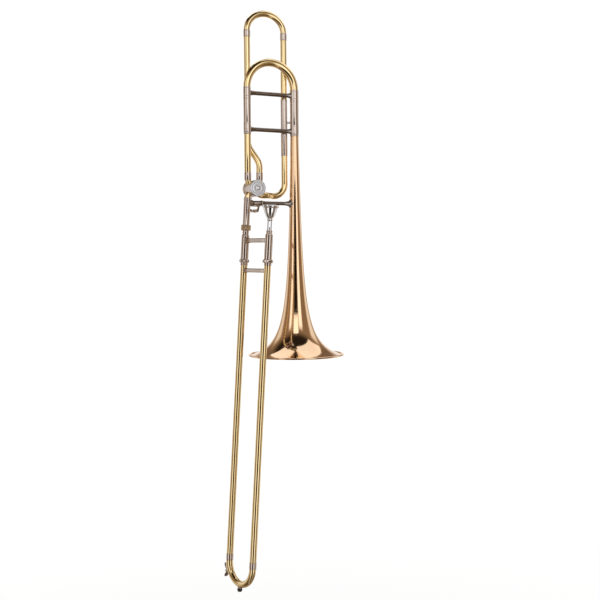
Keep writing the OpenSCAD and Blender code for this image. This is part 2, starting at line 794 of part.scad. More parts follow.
module lock_ring() {
    ring_r = 11;
    play_turn = 4;
    bore = barrel_r + running_gap;
    groove_r = lug_out_r + clear_gap;
    groove_base = lug_base - 0.4;
    groove_top = lug_top + 0.4;
    way_in = lug_turn / 2 + play_turn;
    color(nickel_silver) on_mouthpiece_side() {
        translate([0, 0, groove_top]) linear_extrude(ring_top - groove_top) difference() {
            circle(r = ring_r);
            circle(r = bore);
        }
        // the groove that the lug turns along
        translate([0, 0, groove_base]) linear_extrude(groove_top - groove_base) union() {
            gap_ring(ring_r - 0.1, bore, -lock_turn / 2, way_in + lock_turn / 2 + 1);
            difference() {
                circle(r = ring_r);
                circle(r = groove_r);
            }
        }
        // way in for the lug
        translate([0, 0, ring_base]) linear_extrude(groove_base - ring_base) union() {
            gap_ring(ring_r - 0.1, bore, 0, way_in);
            difference() {
                circle(r = ring_r);
                circle(r = groove_r);
            }
        }
        for (a = [0 : 30 : 330]) rotate([0, 0, a + 15]) translate([ring_r, 0, ring_base + 1.5])
            cylinder(r = 0.6, h = 4.6, $fn = 24);
    }
}

// ---- mouthpiece ----

module mouthpiece() {
    rim_r = mouthpiece_rim_d / 2;
    steps = 10;
    // outer outline, in distance below the rim's top: rim, cup, ball and shank
    outer = concat(
        [for (a = [90 : -15 : -60]) [rim_r - 3.2 + 3.2 * cos(a), -3.2 + 3.2 * sin(a)]],
        [for (i = [0 : steps]) bezier([rim_r - 3.4, -7.5], [rim_r - 5.5, -14], [rim_r - 6.5, -23], [5.6, -28],
                                      i / steps)],
        [[5.2, -29.2], [6.1, -30.6], [6.4, -32], [6.1, -33.4], [5.2, -35]],
        [[shank_r, -mouthpiece_len + shank_depth + 1], [shank_r, -mouthpiece_len + shank_depth],
         [shank_tip_r, -mouthpiece_len]]);
    inner = concat(
        [[4.1, -mouthpiece_len], [3.4, -30]],
        [for (i = [0 : steps]) bezier([3.4, -26.5], [4.2, -20], [12.2, -16], [12.8, -2.6], i / steps)],
        [for (a = [180 : -30 : 120]) [14.2 + 1.4 * cos(a), -1.4 + 1.4 * sin(a)]]);
    color(silver) on_mouthpiece_side() translate([0, 0, mouthpiece_top])
        rotate_extrude() polygon(concat(outer, inner));
}

// ---- outer hand slide ----

module outer_tube() {
    sleeve(outer_tube_r, outer_bore_r, crook_at + 6, outer_top);
}

module neck_outer_tube() {
    color(yellow_brass) on_slide() outer_tube();
}

module mouthpiece_outer_tube() {
    color(yellow_brass) on_mouthpiece_side() outer_tube();
}

module outer_bands() {
    color(nickel_silver) {
        on_both_slide_tubes() sleeve(outer_tube_r + 0.7, outer_tube_r, band_top - 5, band_top);
        on_mouthpiece_side() {
            sleeve(lug_sleeve_r, outer_tube_r, band_top, lug_top);
            rotate([0, 0, -lug_turn / 2]) rotate_extrude(angle = lug_turn)
                translate([lug_sleeve_r, lug_base]) square([lug_out_r - lug_sleeve_r, lug_top - lug_base]);
        }
    }
}

module right_hand_brace() {
    color(nickel_silver) on_slide() slide_brace(right_brace_at, brace_r, 6.2, outer_tube_r);
}

module crook_ferrules() {
    color(nickel_silver) on_both_slide_tubes()
        sleeve(outer_tube_r + 0.5, outer_tube_r, crook_at, crook_ferrule_top);
}

module slide_crook() {
    bend_r = slide_spacing / 2;
    color(yellow_brass) {
        on_both_slide_tubes() sleeve(outer_tube_r, outer_tube_r - 0.6, crook_at, crook_at + 5.8);
        on_slide() translate([bend_r, 0, crook_at]) facing_front() rotate([0, 0, 180])
            rotate_extrude(angle = 180) translate([bend_r, 0]) difference() {
                circle(r = outer_tube_r, $fn = 48);
                circle(r = outer_tube_r - 0.6, $fn = 48);
            }
    }
}

crook_low = crook_at - slide_spacing / 2 - outer_tube_r;
bumper_len = 8.2;

module bumper_socket() {
    color(nickel_silver) on_slide() translate([slide_spacing / 2, 0, 0]) difference() {
        union() {
            translate([0, 0, crook_low - 1.6]) cylinder(r = 4.6, h = 3.4);
            translate([0, 0, crook_low - 6]) cylinder(r = 2, h = 5);
        }
        translate([-10, 0, crook_at - slide_spacing / 2]) rotate([0, 90, 0])
            cylinder(r = outer_tube_r, h = 20);
    }
}

module slide_bumper() {
    base = crook_low - 1.6;
    color(rubber) on_slide() translate([slide_spacing / 2, 0, 0]) difference() {
        rotate_extrude() polygon([[0, base - bumper_len], [4.4, base - bumper_len],
            [5.2, base - bumper_len + 0.8], [5.4, base - 1], [5.1, base], [0, base]]);
        translate([0, 0, base - 4.6]) cylinder(r = 2, h = 10);
    }
}

// ---- water key ----

key_turn = 13;         // place of the nipple round the crook, below the tube's end
hinge_turn = 27;       // place of the key's hinge round the crook
nipple_out = 5;        // height of the nipple over the tube
hinge_out = 5.4;       // height of the hinge over the tube
key_wide = 10;         // width of the touch piece
crook_skin = slide_spacing / 2 + outer_tube_r;

// children drawn in the crook's plane at a turn below its neck side end:
// local x is away from the crook, local y runs round it away from that end, local z is across it
module on_crook(turn) {
    on_slide() translate([slide_spacing / 2, 0, crook_at]) facing_front()
        rotate([0, 0, 180 + turn]) translate([crook_skin, 0, 0]) children();
}

module water_key_saddle() {
    color(nickel_silver) difference() {
        union() {
            on_crook(key_turn) rotate([0, 90, 0]) translate([0, 0, -2]) cylinder(r = 3.2, h = nipple_out + 2);
            on_crook(hinge_turn) for (side = [-1, 1])
                translate([-2, -2.2, side * 3.6 - 0.75]) cube([hinge_out + 2, 4.4, 1.5]);
            on_crook(hinge_turn) for (side = [-1, 1])
                translate([hinge_out, 0, side * 3.6 - 0.75]) cylinder(r = 2.2, h = 1.5);
        }
        on_crook(key_turn) rotate([0, 90, 0]) translate([0, 0, -5]) cylinder(r = 1.7, h = 20);
        on_crook(hinge_turn) translate([hinge_out, 0, -8]) cylinder(r = 0.9, h = 16);
        on_slide() translate([slide_spacing / 2, 0, crook_at]) facing_front() rotate([0, 0, 180])
            rotate_extrude(angle = 90) translate([slide_spacing / 2, 0]) circle(r = outer_tube_r, $fn = 48);
    }
}

module water_key_pin() {
    color(steel) on_crook(hinge_turn) translate([hinge_out, 0, 0]) {
        translate([0, 0, -4.8]) cylinder(r = 0.9, h = 9.6);
        translate([0, 0, 4.4]) cylinder(r = 1.5, h = 0.8);
    }
}

module water_key_spring() {
    color(steel) on_crook(hinge_turn) translate([hinge_out, 0, 0]) for (side = [-1, 1])
        translate([0, 0, side * 2.15 - 0.55]) sleeve(1.9, 1.1, 0, 1.1);
}

pad_thick = 2.4;

module water_key_cork() {
    color(rubber) on_crook(key_turn) rotate([0, 90, 0])
        translate([0, 0, nipple_out + 0.02]) cylinder(r = 3.4, h = pad_thick);
}

module water_key_lever() {
    color(nickel_silver) difference() {
        union() {
            on_crook(hinge_turn) translate([hinge_out, 0, -1.4]) cylinder(r = 2, h = 2.8);
            // cup over the pad, and the arm that carries it
            on_crook(key_turn) rotate([0, 90, 0]) translate([0, 0, nipple_out + pad_thick + 0.05])
                cylinder(r = 3.6, h = 1.4);
            on_crook(hinge_turn) translate([0, 0, -1.4]) linear_extrude(2.8)
                polygon([[hinge_out - 1, 0.4], [hinge_out + 1.8, 0.4], [9.4, -8], [9.2, -13],
                         [7.7, -13], [7.6, -9]]);
            // touch piece, flared away from the crook
            on_crook(hinge_turn) translate([0, 0, -key_wide / 2]) linear_extrude(key_wide)
                polygon([[hinge_out - 0.6, -1.4], [hinge_out + 1.8, -1], [11.4, 6], [15.2, 9.8], [14.2, 10.9],
                         [10.4, 7], [hinge_out - 0.6, 1.6]]);
        }
        on_crook(hinge_turn) translate([hinge_out, 0, -8]) cylinder(r = 0.9 + running_gap, h = 16);
        // room for the saddle's lugs
        on_crook(hinge_turn) for (side = [-1, 1]) translate([hinge_out, 0, side * 4 - 2.5])
            cylinder(r = 3, h = 5);
    }
}

// ---- nodes ----

bell();
bell_ferrule();
bell_side_sleeve();
neck_ferrule();
neck_side_sleeve();
lower_main_brace();
main_leg_tube();
valve_ferrules();
valve_casing();
valve_knuckles();
valve_cap();
bearing_plate();
stop_plate();
stop_bumpers();
neckpipe();
bell_brace();
lever_saddle();
lever_pin();
lever_spring();
upper_branch();
lower_branch();
f_sleeve_left();
f_sleeve_right();
f_stays();
rotor();
stop_arm();
thumb_lever();
linkage_rod();
main_bow();
main_bow_ferrules();
main_inner_legs();
upper_main_brace();
f_bow();
f_bow_ferrules();
f_legs();
coupling_nut();
slide_tenon();
neck_barrel();
mouthpiece_barrel();
neck_inner_tube();
mouthpiece_inner_tube();
barrel_corks();
neck_end_ring();
left_hand_brace();
mouthpiece_receiver();
lock_ring();
mouthpiece();
neck_outer_tube();
mouthpiece_outer_tube();
outer_bands();
right_hand_brace();
crook_ferrules();
slide_crook();
bumper_socket();
slide_bumper();
water_key_saddle();
water_key_pin();
water_key_spring();
water_key_lever();
water_key_cork();
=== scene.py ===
import math

import bmesh
import bpy
from mathutils import Matrix, Vector


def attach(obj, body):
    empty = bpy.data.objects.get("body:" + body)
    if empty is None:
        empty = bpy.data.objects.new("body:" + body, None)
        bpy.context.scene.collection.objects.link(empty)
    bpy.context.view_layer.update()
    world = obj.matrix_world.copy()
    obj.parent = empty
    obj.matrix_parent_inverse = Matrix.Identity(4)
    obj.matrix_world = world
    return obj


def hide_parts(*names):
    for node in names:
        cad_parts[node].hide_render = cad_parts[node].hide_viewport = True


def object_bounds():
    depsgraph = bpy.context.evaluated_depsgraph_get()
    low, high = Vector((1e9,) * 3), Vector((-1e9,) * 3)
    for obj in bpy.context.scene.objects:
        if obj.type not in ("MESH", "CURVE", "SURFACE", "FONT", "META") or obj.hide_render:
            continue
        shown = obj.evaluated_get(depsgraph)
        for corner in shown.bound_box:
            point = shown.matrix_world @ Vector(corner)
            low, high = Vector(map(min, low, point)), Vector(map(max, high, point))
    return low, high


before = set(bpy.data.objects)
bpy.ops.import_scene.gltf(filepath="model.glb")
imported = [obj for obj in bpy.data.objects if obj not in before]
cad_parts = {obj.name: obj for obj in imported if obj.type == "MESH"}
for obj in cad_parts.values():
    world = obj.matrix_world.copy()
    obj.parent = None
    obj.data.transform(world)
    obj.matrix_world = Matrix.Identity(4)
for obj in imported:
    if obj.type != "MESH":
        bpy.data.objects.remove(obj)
cad_low, cad_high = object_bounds()

MM = 0.001
TAU = 2 * math.pi

# ---------------------------------------------------------------- sizes in millimetres, as in the CAD

SPACING = 114.3          # between the bell's axis and the main leg
BELL_LEN = 512
BELL_WALL = 0.8
RIM_R = 108
BEAD_R = 2.2
LEG_R = 7.2
NECK_LEG_R = 7.55
BELL_LEG_R = 9.2
BELL_SLEEVE_R = 9.65
NECK_SLEEVE_R = 8.0
BELL_FERRULE_R = 9.95
NECK_FERRULE_R = 8.25
FERRULE_Z = 490
SPLIT_Z = 568
BOW_Z = 592
UPPER_BRACE_Z = 580
LOWER_BRACE_Z = 501
BELL_BRACE_Z = 340.5

VALVE_Z = 371.5
PORT = 13.95
VALVE_X = -SPACING + PORT
CASING_R = 18.2
CASING_BORE = 16.05
KNUCKLE_BEND = 18
KNUCKLE_R = 7

F_LEFT = -106.3
F_RIGHT = -17.8
F_BACK = 16.1
F_R = 6.95
F_SLEEVE_R = 7.4
F_FERRULE_Z = 704
F_RISE = 39.5

SLIDE_Z = 375
TILT = 3.67
TURN = -76.9
NECKPIPE_R = 7.5
SLIDE_W = 84.5
INNER_R = 6.9
OUTER_R = 7.35
OUTER_BORE = 7.06
BARREL_R = 8.5
CROOK_AT = -818

LEVER_Y = 9.5
LEVER_Z = 336.5
LINK_X = VALVE_X + 6.85
LINK_ARM = 22
LINK_REST = 15


def turn(degrees, axis):
    return Matrix.Rotation(math.radians(degrees), 4, axis)


def shift(x, y, z):
    return Matrix.Translation((x, y, z))


HERE = Matrix.Identity(4)
NECK = shift(-SPACING, 0, 0)
SLIDE = shift(-SPACING, 0, SLIDE_Z) @ turn(TILT, "Y") @ turn(TURN, "Z")
MOUTH = SLIDE @ shift(SLIDE_W, 0, 0)
VALVE = shift(VALVE_X, 0, VALVE_Z) @ turn(90, "X")
CROOK = SLIDE @ shift(SLIDE_W / 2, 0, CROOK_AT) @ turn(90, "X") @ turn(180, "Z")
ALONG_X = turn(90, "Y")


def about_lever(x):
    return shift(x, LEVER_Y, LEVER_Z) @ turn(90, "Z") @ turn(90, "X")


def on_crook(angle):
    return CROOK @ turn(angle, "Z") @ shift(SLIDE_W / 2 + OUTER_R, 0, 0)


def smooth(x):
    k = min(max(x, 0), 1)
    return k * k * (3 - 2 * k)


def mix(a, b, k):
    return a + (b - a) * k


def bell_r(z):
    return 5 - 0.0047 * z + 2754.6 / (z + 30.475) ** 0.9634


def bell_slope(z):
    return (bell_r(z + 0.01) - bell_r(z)) / 0.01


# ---------------------------------------------------------------- mesh helpers

SHARP = math.radians(38)  # an edge sharper than this stays crisp under the smooth shading
WELD = 2e-7


def joined(name, parts):
    """One object from several (corners in millimetres, faces) solids; each solid is welded on its own."""
    mesh = bpy.data.meshes.new(name)
    whole = bmesh.new()
    for verts, faces in parts:
        solid = bpy.data.meshes.new("solid")
        solid.from_pydata([v * MM for v in verts], [], faces)
        bm = bmesh.new()
        bm.from_mesh(solid)
        bmesh.ops.remove_doubles(bm, verts=bm.verts, dist=WELD)
        bmesh.ops.dissolve_degenerate(bm, edges=bm.edges, dist=WELD)
        for context, elements in (("EDGES", bm.edges), ("VERTS", bm.verts)):
            stray = [element for element in elements if not element.link_faces]
            bmesh.ops.delete(bm, geom=stray, context=context)
        bmesh.ops.recalc_face_normals(bm, faces=bm.faces)
        bm.to_mesh(solid)
        bm.free()
        whole.from_mesh(solid)
        bpy.data.meshes.remove(solid)
    whole.to_mesh(mesh)
    whole.free()
    mesh.shade_smooth()
    mesh.set_sharp_from_angle(angle=SHARP)
    piece = bpy.data.objects.new(name, mesh)
    bpy.context.scene.collection.objects.link(piece)
    return piece


def soften(loop, r, steps=3):
    """A closed outline with each corner rounded by about r."""
    out = []
    count = len(loop)
    for i in range(count):
        before = Vector(loop[i - 1])
        here = Vector(loop[i])
        after = Vector(loop[(i + 1) % count])
        back = before - here
        on = after - here
        if back.length < 1e-6 or on.length < 1e-6 or here.x < 1e-6 or back.angle(on) > 2.9:
            out.append(tuple(here))
            continue
        cut = min(r, back.length * 0.45, on.length * 0.45)
        start = here + back.normalized() * cut
        end = here + on.normalized() * cut
        for s in range(steps + 1):
            k = s / steps
            out.append(tuple(start * (1 - k) ** 2 + here * 2 * k * (1 - k) + end * k * k))
    return out


def strips_between(rings, count, first=0):
    """The faces that join each ring of corners to the next one; first is the first ring's first corner."""
    faces = []
    for ring in range(rings - 1):
        a = first + ring * count
        b = a + count
        for k in range(count):
            m = (k + 1) % count
            faces.append((a + k, a + m, b + m, b + k))
    return faces


def lids(rings, count):
    """A face over the first ring and one over the last."""
    last = (rings - 1) * count
    return [tuple(range(count)), tuple(range(last, last + count))]


def lathe(outline, place=HERE, sides=72, edge=0.15, ripple=None):
    """A turned ring from a closed outline of (radius, height); ripple(angle, r, h) changes the radius."""
    loop = soften(outline, edge) if edge else outline
    count = len(loop)
    verts, faces = [], []
    for i in range(sides):
        angle = TAU * i / sides
        for r, h in loop:
            r_here = r if ripple is None else ripple(angle, r, h)
            verts.append(place @ Vector((r_here * math.cos(angle), r_here * math.sin(angle), h)))
    for i in range(sides):
        j = (i + 1) % sides
        for k in range(count):
            m = (k + 1) % count
            faces.append((i * count + k, j * count + k, j * count + m, i * count + m))
    return verts, faces


def groove(r, z, depth=0.16, half=0.35):
    """Points of one turned line in an outline that runs up the outside."""
    return [(r, z - half), (r - depth, z - half * 0.3), (r - depth, z + half * 0.3), (r, z + half)]


def pipe(r_out, r_in, z0, z1, lines=(), bead=0.0):
    """Outline of a tube, with turned lines at some heights and a small bead at its upper end."""
    outside = [(r_out, z0)]
    for z in lines:
        outside.extend(groove(r_out, z))
    if bead:
        outside.extend([(r_out, z1 - 2.4), (r_out + bead, z1 - 1.9), (r_out + bead, z1)])
    else:
        outside.append((r_out, z1))
    return [(r_in, z0)] + outside + [(r_in, z1)]


def sweep(rows, sides=56):
    """A tube along rows of (point, outer radius, inner radius), closed at both ends."""
    points = [Vector(row[0]) for row in rows]
    count = len(points)
    headings = []
    for i in range(count):
        step = points[min(i + 1, count - 1)] - points[max(i - 1, 0)]
        headings.append(step.normalized())
    first = headings[0]
    helper = Vector((0, 1, 0)) if abs(first.y) < 0.9 else Vector((1, 0, 0))
    side = helper.cross(first).normalized()
    verts = []
    frames = []
    for i in range(count):
        if i:
            side = (headings[i - 1].rotation_difference(headings[i]) @ side).normalized()
        frames.append((side.copy(), headings[i].cross(side).normalized()))
    for layer in (1, 2):
        for i in range(count):
            across, up = frames[i]
            for k in range(sides):
                angle = TAU * k / sides
                offset = across * math.cos(angle) + up * math.sin(angle)
                verts.append(points[i] + offset * rows[i][layer])
    inner = sides * count
    last = inner - sides
    faces = strips_between(count, sides) + strips_between(count, sides, inner)
    for k in range(sides):
        m = (k + 1) % sides
        faces.append((k, m, inner + m, inner + k))
        faces.append((last + k, inner + last + k, inner + last + m, last + m))
    return verts, faces


def rod(rows, sides=20):
    """A solid bar along rows of (point, radius)."""
    return sweep([(point, r, 0.0) for point, r in rows], sides)


def plate(outline, thickness, place, edge=0.3, steps=3):
    """A flat plate from an anticlockwise outline of (x, y), thick along local z, with its edges rounded."""
    corners = [Vector(p) for p in outline]
    count = len(corners)
    stack = []
    for s in range(steps + 1):
        angle = math.pi / 2 * s / steps
        stack.append((edge * (1 - math.sin(angle)), edge * (1 - math.cos(angle))))
    stack += [(inset, thickness - h) for inset, h in reversed(stack)]
    normals = []
    for i, here in enumerate(corners):
        d0 = (here - corners[i - 1]).normalized()
        d1 = (corners[(i + 1) % count] - here).normalized()
        bend = d0 + d1
        bend = bend.normalized() if bend.length > 1e-6 else d0
        inward = Vector((-bend.y, bend.x))
        normals.append(inward / max(0.35, abs(inward.dot(Vector((-d0.y, d0.x))))))
    verts = []
    for inset, h in stack:
        for corner, normal in zip(corners, normals):
            p = corner + normal * inset
            verts.append(place @ Vector((p.x, p.y, h)))
    return verts, strips_between(len(stack), count) + lids(len(stack), count)


def arc_points(r, start, end, steps, centre=(0, 0), tall=None):
    """Points of an arc between two angles in degrees; tall is the second axis's radius, if it isn't r."""
    out = []
    for s in range(steps + 1):
        angle = math.radians(mix(start, end, s / steps))
        out.append((centre[0] + r * math.cos(angle), centre[1] + (tall or r) * math.sin(angle)))
    return out


def mirrored(half, tip):
    """An outline that is alike on both sides of local x: one half, the tip, and the half turned over."""
    return half + tip + [(x, -y) for x, y in reversed(half)]


def bow(place, span, rise, leg, r_start, r_end, wall, steps, sides):
    """A U of tube in local xz: up a straight leg to the origin, over by rise, and down at x = span."""
    rows = [(0, -leg, r_start)]
    for i in range(steps + 1):
        a = math.pi * i / steps
        rows.append((span / 2 * (1 - math.cos(a)), rise * math.sin(a), mix(r_start, r_end, i / steps)))
    rows.append((span, -leg, r_end))
    return sweep([(place @ Vector((x, 0, z)), r, r - wall) for x, z, r in rows], sides)


def coil(r, wire, pitch, turns, place, tails=()):
    """A spring's wire wound about local z; tails are extra points after its end, in local coordinates."""
    steps = 20
    rows = []
    for s in range(int(turns * steps) + 1):
        angle = TAU * s / steps
        rows.append((place @ Vector((r * math.cos(angle), r * math.sin(angle), pitch * s / steps)), wire))
    for tail in tails:
        rows.append((place @ Vector(tail), wire))
    return rod(rows, 10)


def round_skin(r):
    """How far a round tube's skin stands out from its axis, at a sideways offset y."""
    return lambda y, z: math.sqrt(max(r * r - y * y, 0))


SEAT_DEPTH = 0.2


def foot(foot_r, bar_r, flange, flare, steps=9):
    """(distance from the tube's skin, radius) rows of a brace's foot, from inside the skin outwards."""
    rows = [(-SEAT_DEPTH, foot_r * k / 6) for k in range(7)]
    rows += [(flange * 0.75, foot_r), (flange, foot_r - 0.22)]
    for s in range(steps + 1):
        k = s / steps
        rows.append((flange + 0.05 + flare * k, bar_r + (foot_r - 0.5 - bar_r) * (1 - k) ** 2.3))
    return rows


def brace(span, left, right, left_skin, right_skin, place, sides=56):
    """A bar between two tubes whose axes are span apart along local x; both feet follow the tubes' skins."""
    fade = 8
    verts = []
    for origin, way, rows, skin in ((0, 1, left, left_skin), (span, -1, right[::-1], right_skin)):
        for at, r in rows:
            for i in range(sides):
                y, z = r * math.cos(TAU * i / sides), r * math.sin(TAU * i / sides)
                reach = at + mix(skin(y, z), skin(0, 0), smooth(at / fade))
                verts.append(place @ Vector((origin + way * reach, y, z)))
    return verts, strips_between(len(left) + len(right), sides)


# ---------------------------------------------------------------- materials


def new_material(name):
    mat = bpy.data.materials.new(name)
    mat.use_nodes = True
    tree = mat.node_tree
    shader = tree.nodes["Principled BSDF"]
    return mat, tree, shader


def feed(tree, value, socket):
    """Links another node's output to a socket, or sets the socket to a plain value."""
    if isinstance(value, bpy.types.NodeSocket):
        tree.links.new(value, socket)
    else:
        socket.default_value = value


def object_place(tree):
    return tree.nodes.new("ShaderNodeTexCoord").outputs["Object"]


def noise(tree, scale, stretch=(1, 1, 1), detail=3.0):
    mapping = tree.nodes.new("ShaderNodeMapping")
    mapping.inputs["Scale"].default_value = stretch
    tree.links.new(object_place(tree), mapping.inputs["Vector"])
    node = tree.nodes.new("ShaderNodeTexNoise")
    node.inputs["Scale"].default_value = scale
    node.inputs["Detail"].default_value = detail
    tree.links.new(mapping.outputs["Vector"], node.inputs["Vector"])
    return node.outputs["Fac"]


def to_range(tree, value, low, high, new_low, new_high, easing="LINEAR"):
    node = tree.nodes.new("ShaderNodeMapRange")
    node.interpolation_type = easing
    node.inputs["From Min"].default_value = low
    node.inputs["From Max"].default_value = high
    node.inputs["To Min"].default_value = new_low
    node.inputs["To Max"].default_value = new_high
    tree.links.new(value, node.inputs["Value"])
    return node.outputs["Result"]


def blend_colour(tree, factor, a, b):
    node = tree.nodes.new("ShaderNodeMix")
    node.data_type = "RGBA"
    tree.links.new(factor, node.inputs[0])
    for index, value in ((6, a), (7, b)):
        colour = value if isinstance(value, bpy.types.NodeSocket) else (*value, 1)
        feed(tree, colour, node.inputs[index])
    return node.outputs[2]


def calc(tree, operation, a, b=None):
    node = tree.nodes.new("ShaderNodeMath")
    node.operation = operation
    feed(tree, a, node.inputs[0])
    if b is not None:
        feed(tree, b, node.inputs[1])
    return node.outputs[0]


def vector_calc(tree, operation, vector, other=None):
    node = tree.nodes.new("ShaderNodeVectorMath")
    node.operation = operation
    tree.links.new(vector, node.inputs[0])
    if other is not None:
        node.inputs[1].default_value = other
    return node.outputs["Value" if operation in ("LENGTH", "DOT_PRODUCT") else "Vector"]


def worn_edges(tree, amount):
    """0 on flat places, up to amount where the shape is sharpest."""
    geometry = tree.nodes.new("ShaderNodeNewGeometry")
    return to_range(tree, geometry.outputs["Pointiness"], 0.52, 0.6, 0.0, amount)


def relief(tree, shader, height, strength, distance):
    """Fine relief from a height pattern."""
    node = tree.nodes.new("ShaderNodeBump")
    node.inputs["Strength"].default_value = strength
    node.inputs["Distance"].default_value = distance
    tree.links.new(height, node.inputs["Height"])
    tree.links.new(node.outputs["Normal"], shader.inputs["Normal"])


def metal(name, colour, deep, rough, coat=0.25, brush=(1, 1, 0.06)):
    """Polished metal: cloudy tint, fine lengthwise scratches, worn lighter edges and uneven polish."""
    mat, tree, shader = new_material(name)
    spread = 0.05
    cloud = noise(tree, 22, detail=4.0)
    mottle = noise(tree, 160, detail=2.0)
    specks = noise(tree, 900, detail=1.0)
    lines = noise(tree, 2600, brush, detail=2.0)
    tinted = blend_colour(tree, to_range(tree, cloud, 0.35, 0.7, 0.0, 0.55), colour, deep)
    dark = tuple(c * 0.7 for c in deep)
    spotted = blend_colour(tree, to_range(tree, specks, 0.68, 0.8, 0.0, 0.18), tinted, dark)
    lighter = tuple(min(1, c * 1.08 + 0.04) for c in colour)
    tree.links.new(blend_colour(tree, worn_edges(tree, 0.5), spotted, lighter), shader.inputs["Base Color"])
    polish = to_range(tree, cloud, 0.3, 0.75, rough - spread / 2, rough + spread)
    smear = to_range(tree, mottle, 0.5, 0.8, 0.0, spread)
    hair = to_range(tree, lines, 0.55, 0.75, 0.0, 0.03)
    tree.links.new(calc(tree, "ADD", calc(tree, "ADD", polish, smear), hair), shader.inputs["Roughness"])
    relief(tree, shader, lines, 0.04, 0.00001)
    shader.inputs["Metallic"].default_value = 1.0
    shader.inputs["Coat Weight"].default_value = coat
    shader.inputs["Coat Roughness"].default_value = 0.04
    return mat


def satin_cap(name, colour, deep):
    """A turned face: rings about the valve's axis, with a soft sheen."""
    mat, tree, shader = new_material(name)
    from_axis = vector_calc(tree, "SUBTRACT", object_place(tree), (VALVE_X * MM, 0, VALVE_Z * MM))
    distance = vector_calc(tree, "LENGTH", vector_calc(tree, "MULTIPLY", from_axis, (1, 0, 1)))
    turning = tree.nodes.new("ShaderNodeTexNoise")
    turning.noise_dimensions = "1D"
    turning.inputs["Scale"].default_value = 3200
    turning.inputs["Detail"].default_value = 3.0
    tree.links.new(distance, turning.inputs["W"])
    rings = turning.outputs["Fac"]
    cloud = noise(tree, 90)
    tinted = blend_colour(tree, to_range(tree, cloud, 0.35, 0.7, 0, 0.6), colour, deep)
    ringed = blend_colour(tree, to_range(tree, rings, 0.5, 0.8, 0, 0.4), tinted, deep)
    tree.links.new(ringed, shader.inputs["Base Color"])
    tree.links.new(to_range(tree, rings, 0.2, 0.8, 0.24, 0.4), shader.inputs["Roughness"])
    relief(tree, shader, rings, 0.5, 0.00003)
    shader.inputs["Metallic"].default_value = 1.0
    return mat


def rubber_material():
    mat, tree, shader = new_material("black_rubber")
    cloud = noise(tree, 300, detail=4.0)
    black, dust, grey = (0.012, 0.012, 0.013), (0.05, 0.048, 0.045), (0.09, 0.085, 0.08)
    dusty = blend_colour(tree, to_range(tree, cloud, 0.45, 0.75, 0, 1), black, dust)
    tree.links.new(blend_colour(tree, worn_edges(tree, 0.6), dusty, grey), shader.inputs["Base Color"])
    tree.links.new(to_range(tree, cloud, 0.3, 0.7, 0.42, 0.62), shader.inputs["Roughness"])
    relief(tree, shader, noise(tree, 4000, detail=2.0), 0.4, 0.00005)
    return mat


def cork_material():
    mat, tree, shader = new_material("cork")
    cells = tree.nodes.new("ShaderNodeTexVoronoi")
    cells.inputs["Scale"].default_value = 1400
    tree.links.new(object_place(tree), cells.inputs["Vector"])
    cloud = noise(tree, 500)
    base = blend_colour(tree, cloud, (0.55, 0.36, 0.19), (0.4, 0.24, 0.11))
    pits = to_range(tree, cells.outputs["Distance"], 0.0, 0.35, 0.8, 0.0)
    tree.links.new(blend_colour(tree, pits, base, (0.16, 0.08, 0.035)), shader.inputs["Base Color"])
    tree.links.new(to_range(tree, cloud, 0.3, 0.7, 0.75, 0.9), shader.inputs["Roughness"])
    relief(tree, shader, cells.outputs["Distance"], 0.6, 0.0001)
    return mat


# colour, deeper colour, roughness, then clear coat and brushing where they aren't the usual ones
METALS = {
    "yellow_brass": ((0.95, 0.76, 0.43), (0.90, 0.68, 0.33), 0.11),
    "gold_brass": ((0.97, 0.69, 0.45), (0.93, 0.61, 0.36), 0.08, 0.25, (1, 1, 0.05)),
    "nickel_silver": ((0.69, 0.59, 0.53), (0.60, 0.505, 0.45), 0.12),
    # the braces' nickel silver painted much darker: painted shade for the dark the braces show under this
    # light
    "brace_nickel_painted_shade": ((0.33, 0.285, 0.25), (0.26, 0.22, 0.20), 0.14),
    "nut_bronze": ((0.74, 0.57, 0.38), (0.58, 0.42, 0.25), 0.2, 0.1),
    "silver_plate": ((0.92, 0.94, 0.98), (0.84, 0.86, 0.90), 0.07, 0.0),
    "slide_chrome": ((0.80, 0.80, 0.82), (0.70, 0.70, 0.73), 0.08, 0.0),
    "spring_steel": ((0.52, 0.50, 0.48), (0.40, 0.38, 0.36), 0.2, 0.0),
}
MATERIALS = {name: metal(name, *values) for name, values in METALS.items()}
MATERIALS["valve_cap_metal"] = satin_cap("valve_cap_metal", (0.80, 0.83, 0.88), (0.66, 0.69, 0.74))
MATERIALS["black_rubber"] = rubber_material()
MATERIALS["cork"] = cork_material()


def add_piece(name, solids, body, finish, node, look=None):
    """Joins a piece's solids, gives it the material of its look, or else of its finish, ties it to its body
    and hides the CAD node it stands for.
    """
    piece = joined(name, solids)
    piece.data.materials.append(MATERIALS[look or finish])
    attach(piece, body)
    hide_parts(node)


def turned(name, outline, place, body, finish, node, **details):
    """A piece that is one turned solid; details are lathe's."""
    add_piece(name, [lathe(outline, place, **details)], body, finish, node)


# ---------------------------------------------------------------- bell section

BELL = "bell_section"
SLEEVE_Z = FERRULE_Z + 6


def bell_solid():
    steps = 150
    first = 1.35
    heights = [first + (BELL_LEN - first) * (i / steps) ** 2.2 for i in range(steps + 1)]
    outside = [(bell_r(z), z) for z in reversed(heights)]
    bead = arc_points(BEAD_R, 197, -148, 23, (RIM_R - BEAD_R, BEAD_R))
    inside = []
    for z in heights[4:]:
        slant = math.sqrt(1 + bell_slope(z) ** 2)
        inside.append((bell_r(z) - BELL_WALL * slant, z))
    return lathe(outside + bead + inside, sides=192, edge=0)


